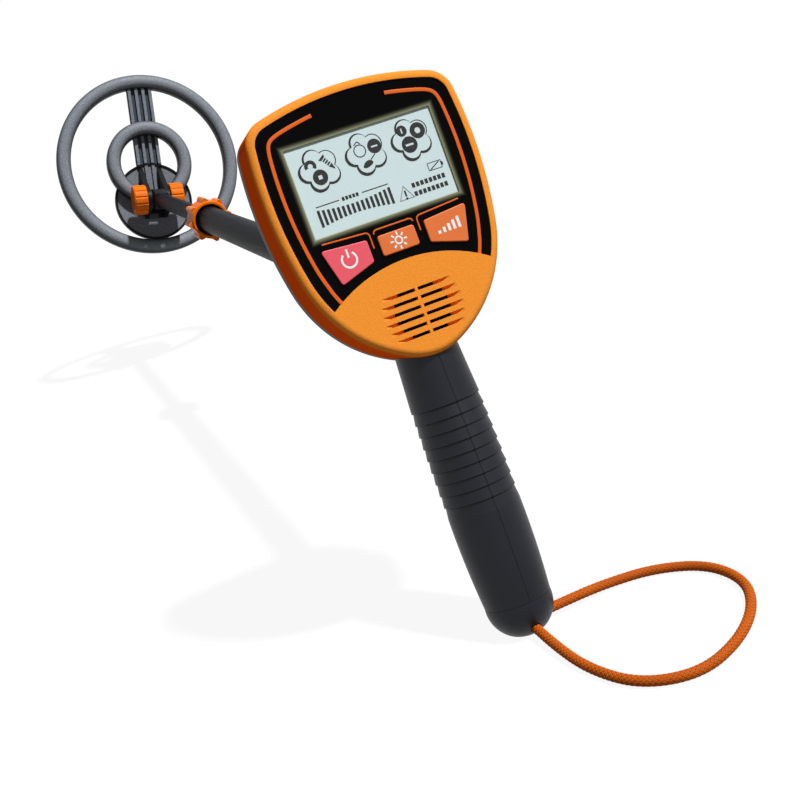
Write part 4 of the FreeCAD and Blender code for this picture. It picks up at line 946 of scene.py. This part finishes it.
def arc(x, y, radius, start=0, end=360, count=24):
    """Points round part of a circle, by degrees."""
    return [(x + radius * math.cos(math.radians(start + (end - start) * step / count)),
             y + radius * math.sin(math.radians(start + (end - start) * step / count)))
            for step in range(count + 1)]


def disc(x, y, radius):
    """Points round a whole circle, each once."""
    return arc(x, y, radius)[:-1]


def box(x, y, wide, tall):
    """The four corners of a bar."""
    return [(x - wide / 2, y - tall / 2), (x + wide / 2, y - tall / 2),
            (x + wide / 2, y + tall / 2), (x - wide / 2, y + tall / 2)]


def ink(name, colour, gloss):
    """Screen ink, with the faint speckle of its mesh."""
    finish = Finish(name, Specular_IOR_Level=0.3)
    speck = finish.noise(0.3, 2.0)
    finish.set("Base Color", finish.mix(speck, lighter(colour, 0.92), colour))
    finish.set("Roughness", gloss + speck * 0.1)
    return finish


ORANGE_INK = ink("orange_ink", tint(0.74, 0.120, 0.005), 0.3)
WHITE_INK = ink("white_ink", tint(0.88, 0.86, 0.85), 0.4)
SCREEN_INK = ink("screen_ink", tint(0.006, 0.005, 0.006), 0.6)
print("inks, each", INK * 2, "mm thick")

# %% [markdown]
# Two orange stripes follow the edge of the panel from above the screen round its
# corners and down to the chin. Points placed by eye would wander, so the edge is
# read from the panel's own mesh and set inwards. Its corner is then drawn rounder
# by averaging each point with its neighbours, as a printed line would turn.

# %% Stripes round the panel
STRIPE_IN = 5.6
STRIPE_WIDE = 1.9
STRIPE_START = 16.0
STRIPE_SOFT = 9
STRIPE_PAST = 2.0
CHIN_TOP = -43.8
CHIN_BOW = 75.0
CHIN_SLACK = 0.3
LEVEL_SLACK = 0.01
FACING_OUT = 0.9
SAME_PLACE = 1e-6


def panel_edge():
    """The panel's outer edge on its face, in order, from the top to the right."""
    plate = bmesh.new()
    plate.from_mesh(nodes["face_panel"].data)
    bmesh.ops.remove_doubles(plate, verts=plate.verts, dist=SAME_PLACE)
    plate.transform(Matrix.Diagonal((1 / MM, 1 / MM, 1 / MM, 1)) @ FACE.inverted())
    plate.normal_update()
    beside = {}
    for edge in plate.edges:
        ends = [vertex for vertex in edge.verts if abs(vertex.co.z - PANEL) < LEVEL_SLACK]
        facing = [face for face in edge.link_faces if face.normal.z > FACING_OUT]
        if len(ends) == 2 and len(facing) == 1:
            for here, there in (ends, ends[::-1]):
                beside.setdefault(here, []).append(there)
    start = max(beside, key=lambda vertex: (round(vertex.co.y, 3), vertex.co.x))
    before, here = start, max(beside[start], key=lambda vertex: vertex.co.x)
    points = [start.co.copy()]
    while here is not start:
        points.append(here.co.copy())
        onward = [there for there in beside[here] if there is not before]
        before, here = here, onward[0]
    plate.free()
    return points


def stripe():
    """The middle line of the right stripe."""
    edge = panel_edge()
    chin = Vector((0, CHIN_TOP - CHIN_BOW))
    line = []
    for before, here, after in zip(edge, edge[1:], edge[2:]):
        on_chin = abs((here.xy - chin).length - CHIN_BOW) < CHIN_SLACK
        ahead = (after - before).xy.normalized()
        inside = here.xy + Vector((ahead.y, -ahead.x)) * STRIPE_IN
        if here.x < 0 or on_chin:
            break
        if inside.x > STRIPE_START:
            line.append(inside)
    line.append(line[-1] + (line[-1] - line[-2]).normalized() * STRIPE_PAST)
    return line


def softened(line):
    """The same line in even steps, with its corner drawn rounder."""
    even = [line[0]]
    for here in line[1:]:
        steps = max(1, round((here - even[-1]).length))
        start = even[-1]
        even += [start.lerp(here, step / steps) for step in range(1, steps + 1)]
    soft = []
    for index, here in enumerate(even):
        reach = min(index, len(even) - 1 - index, STRIPE_SOFT)
        near = even[index - reach:index + reach + 1]
        soft.append(tuple(sum(near, Vector((0, 0))) / len(near)))
    return soft


right_stripe = softened(stripe())
left_stripe = [(-x, y) for x, y in right_stripe]
ink_lines("panel_stripes", [right_stripe, left_stripe], STRIPE_WIDE, PANEL, "handle",
          ORANGE_INK)
print("stripe from", [round(v, 1) for v in right_stripe[0]], "to",
      [round(v, 1) for v in right_stripe[-1]])

# %% [markdown]
# A thin orange line runs over each key and turns down at one end, or a little at
# both ends of the middle key. The keys are slanted quadrilaterals, so a line drawn
# on a grid would not run parallel to them. Each is set off from the key's own
# corners instead.

# %% Lines beside the keys
LINE_ABOVE = 2.0
LINE_WIDE = 0.75
LINE_ROUND = 1.6
LINE_CORNER = 0.3
LINE_SHORT = 4.6


def far_corner(node, x, y):
    """A key's corner that lies furthest towards a direction."""
    return max((point.xy for point in corners(node, FACE)),
               key=lambda point: point.x * x + point.y * y)


def line_end(node, hand, aside, fall):
    """One end of a line: a rounded turn down, or a plain end short of the corner."""
    top = far_corner(node, hand, 1)
    bend = top + Vector((hand * aside, LINE_ABOVE))
    inward = (far_corner(node, -hand, 1) - top).normalized()
    down = (far_corner(node, hand, -1) - top).normalized()
    if fall == 0:
        return [bend + inward * LINE_SHORT]
    return [bend + down * (fall + LINE_ROUND), bend + down * LINE_ROUND,
            bend + (down + inward) * LINE_ROUND * LINE_CORNER, bend + inward * LINE_ROUND]


def key_line(node, aside, left_fall, right_fall):
    """A line over a key, from its left end to its right end."""
    line = line_end(node, -1, aside, left_fall) + line_end(node, 1, aside, right_fall)[::-1]
    return [tuple(point) for point in line]


key_lines = [key_line("power_button", 1.2, 0, 6.5), key_line("backlight_button", -0.5, 0.1, 0.1),
             key_line("mode_button", 1.2, 5.5, 0)]
ink_lines("key_lines", key_lines, LINE_WIDE, PANEL, "handle", ORANGE_INK)
print("key lines:", len(key_lines))

# %% [markdown]
# The signs on the keys are white: the power sign, a sun for the light, and rising
# bars for the mode. Text objects hold no such signs, and each is only an arc, a
# few lines or a few bars, so they are drawn from the middle of their key. They
# ride on the key, so they go down with it.

# %% Signs on the keys
SIGN_WIDE = 1.15
POWER_RING = 3.7
POWER_ARC = (128, 412)
POWER_STROKE = (1.1, 5.3)
SUN_RING = 1.7
SUN_RAYS = 8
RAY_REACH = (2.7, 4.3)
RING_WIDE = 0.9
RAY_WIDE = 0.95
BARS = 5
BAR_WIDE = 1.5
BAR_STEP = 2.7
BAR_LOW = 1.6
BAR_RISE = 1.0
BAR_FOOT = 2.6


def key_middle(node):
    """The middle of a key's face."""
    points = [point.xy for point in corners(node, FACE) if point.z > PANEL]
    return sum(points, Vector((0, 0))) / len(points)


def power_sign():
    """An open ring with a stroke in its gap."""
    x, y = key_middle("power_button")
    stroke = [(x, y + reach) for reach in POWER_STROKE]
    ink_lines("power_sign", [arc(x, y, POWER_RING, *POWER_ARC), stroke], SIGN_WIDE,
              top_of("power_button"), "power_button", WHITE_INK)


def sun_sign():
    """A ring with eight rays."""
    x, y = key_middle("backlight_button")
    rays = []
    for step in range(SUN_RAYS):
        turn = step * math.tau / SUN_RAYS
        rays.append([(x + math.cos(turn) * reach, y + math.sin(turn) * reach)
                     for reach in RAY_REACH])
    level = top_of("backlight_button")
    ink_lines("sun_ring", [disc(x, y, SUN_RING)], RING_WIDE, level, "backlight_button",
              WHITE_INK, closed=True)
    ink_lines("sun_rays", rays, RAY_WIDE, level, "backlight_button", WHITE_INK)


def level_sign():
    """Bars that rise to the right from one foot line."""
    x, y = key_middle("mode_button")
    bars = []
    for step in range(BARS):
        tall = BAR_LOW + BAR_RISE * step
        bars.append(box(x + BAR_STEP * (step - (BARS - 1) / 2), y - BAR_FOOT + tall / 2,
                        BAR_WIDE, tall))
    ink_shapes("level_sign", bars, top_of("mode_button"), "mode_button", WHITE_INK)


power_sign()
sun_sign()
level_sign()
print("signs on the keys: ring and stroke,", SUN_RAYS, "rays,", BARS, "bars")

# %% [markdown]
# The screen shows three scalloped badges for what lies in the ground, and below
# them a row of depth bars that is tallest at its ends. A badge could be five discs
# joined by a boolean, but its outline is a simple formula: how far the edge of the
# nearest lobe is in each direction. A second, smaller outline inside leaves a ring.

# %% Badges and bars
BADGE_POINTS = 90
OUTER_LOBES = (0, 5.9, 4.8)
INNER_LOBES = (0.42, 5.4, 4.35)
DEPTH_BARS = 16
DEPTH_ROW = (-13.6, 18.4, -13.2)
DEPTH_BAR = (1.35, 4.7, 3.5)


def badge(x, y):
    """A ring of five lobes, heavier at its lower left."""
    def lobes(across_by, reach, lobe):
        """One outline, moved aside, with lobes of one radius at one reach."""
        points = []
        for step in range(BADGE_POINTS):
            turn = math.tau * step / BADGE_POINTS
            apart = (turn + math.pi / 5 - math.pi) % (math.tau / 5) - math.pi / 5
            far = reach * math.cos(apart) + math.sqrt(lobe ** 2 - (reach * math.sin(apart)) ** 2)
            points.append((x + across_by + far * math.cos(turn),
                           y + across_by + far * math.sin(turn)))
        return points
    return [lobes(*OUTER_LOBES), lobes(*INNER_LOBES)]


def depth_bars():
    """Bars in a bow, tall at both ends."""
    middle_x, half_row, y = DEPTH_ROW
    wide, low, rise = DEPTH_BAR
    bars = []
    for step in range(DEPTH_BARS):
        place = 2 * step / (DEPTH_BARS - 1) - 1
        bars.append(box(middle_x + half_row * place, y, wide, low + rise * place ** 2))
    return bars


print("points round a badge:", len(badge(0, 0)[0]), "and depth bars:", len(depth_bars()))

# %% [markdown]
# Tokens, a screw and a pull tab lie in the badges, and words are left as plain
# blocks. An outline inside another becomes a hole when it is filled, but two that
# overlap can cancel out, so the parts of the screw only come near each other.

# %% Tokens, finds and words
WORD_STEP = 1.45


def word(x, y, count, wide, tall):
    """A word as even blocks."""
    return [box(x + wide * WORD_STEP * step, y, wide, tall) for step in range(count)]


def marked_disc(x, y, radius, hole):
    """A dark round token with a light mark in it."""
    return [disc(x, y, radius), hole]


def tokens():
    """The round tokens of all three badges."""
    shapes = marked_disc(-25.0, 5.4, 3.7, box(-25.0, 5.4, 2.0, 2.0))
    shapes += marked_disc(5.4, 11.6, 3.5, box(5.4, 11.6, 3.4, 0.9))
    shapes += marked_disc(20.9, 14.3, 2.7, box(20.9, 14.3, 0.8, 2.6))
    shapes += marked_disc(28.8, 12.4, 3.9, disc(28.8, 12.4, 1.5))
    shapes += marked_disc(22.6, 7.0, 4.0, box(22.6, 7.0, 4.2, 1.1))
    return shapes


def screw_mark():
    """A slanted wood screw: a head, a threaded shank and a point."""
    head, point = Vector((-21.6, 14.2)), Vector((-16.6, 7.2))
    way = (point - head).normalized()
    side = Vector((-way.y, way.x))

    def piece(start, finish, first, last):
        """A stretch of the screw, from one half width to another."""
        ends = [head + way * start + side * first, head + way * finish + side * last,
                head + way * finish - side * last, head + way * start - side * first]
        return [tuple(end) for end in ends]

    threads = [piece(1.7 + 1.3 * turn, 2.5 + 1.3 * turn, 1.0, 1.0) for turn in range(3)]
    return [piece(0, 1.2, 1.9, 1.3)] + threads + [piece(5.6, 8.6, 1.1, 0.05)]


def drop_mark():
    """A pull tab lying askew, as a dark drop."""
    x, y = -0.6, 4.4
    return [[(x + 2.6 * math.cos(t) * (1 - 0.25 * math.sin(t)) - 0.5 * math.sin(t),
              y + 1.35 * math.sin(t) + 0.9 * math.cos(t))
             for t in (math.tau * step / 28 for step in range(28))]]


def triangle(x, y, reach):
    """A triangle that points up."""
    return arc(x, y, reach, 90, 450, 3)[:-1]


print("outlines of the tokens:", len(tokens()), "and of the screw:", len(screw_mark()))

# %% [markdown]
# On the real display all the marks lie in one thin cell right behind the window.
# The cell could stay as deep as the module that carries it, but then the marks
# would shift behind the opening's edge when seen from the side. So a pane of its
# own colour is laid close under the window, and the marks are laid on the pane.

# %% The whole screen
PANE_DEEP = 0.9
PANE_PAST = 0.3
MARK_LINE = 0.5
SHOE_LINE = 1.7


def draw_screen():
    """The pane and all its marks."""
    back = WINDOW - PANE_DEEP
    pane = box(0, 0, *(2 * (half + PANE_PAST) for half in SCREEN_HALF))
    ink_shapes("screen_cell", [pane], back, "handle", screen_cell())
    level = back + 2 * INK
    words = word(-18.2, -7.5, 5, 1.25, 1.7)
    words += word(17.2, -12.0, 8, 1.6, 2.2) + word(17.2, -16.2, 8, 1.6, 2.2)
    signs = [box(12.0, -14.6, 0.9, 2.9), disc(12.0, -17.1, 0.6), box(35.0, -6.2, 0.9, 1.8)]
    groups = {"left_badge": badge(-24.3, 8.8), "middle_badge": badge(0.1, 9.4),
              "right_badge": badge(24.2, 9.2), "tokens": tokens(),
              "finds": screw_mark() + drop_mark(), "depth_bars": depth_bars(),
              "words": words, "signs": signs}
    for name, shapes in groups.items():
        ink_shapes(name, shapes, level, "handle", SCREEN_INK)
    ink_lines("screen_rings", [disc(-2.3, 11.4, 2.9), triangle(12, -15.2, 4.3),
                               box(31, -6.2, 7, 3.6)], MARK_LINE, level, "handle",
              SCREEN_INK, closed=True)
    ink_lines("screen_lines", [[(-32.4, -7.5), (-20.4, -7.5)], [(-8.4, -7.5), (5.2, -7.5)],
                               [(28.4, -7.6), (33.6, -4.8)], [(-4.3, 14.6), (-2.3, 16.0)],
                               [(-2.3, 16.0), (-1.0, 14.6)], [(1.6, 6.0), (4.4, 8.0)]],
              MARK_LINE, level, "handle", SCREEN_INK)
    ink_lines("horseshoe", [arc(-27.9, 11.6, 2.1, -40, 200, 20)], SHOE_LINE, level,
              "handle", SCREEN_INK)
    print("marks on the screen:", sum(len(shapes) for shapes in groups.values()))


draw_screen()
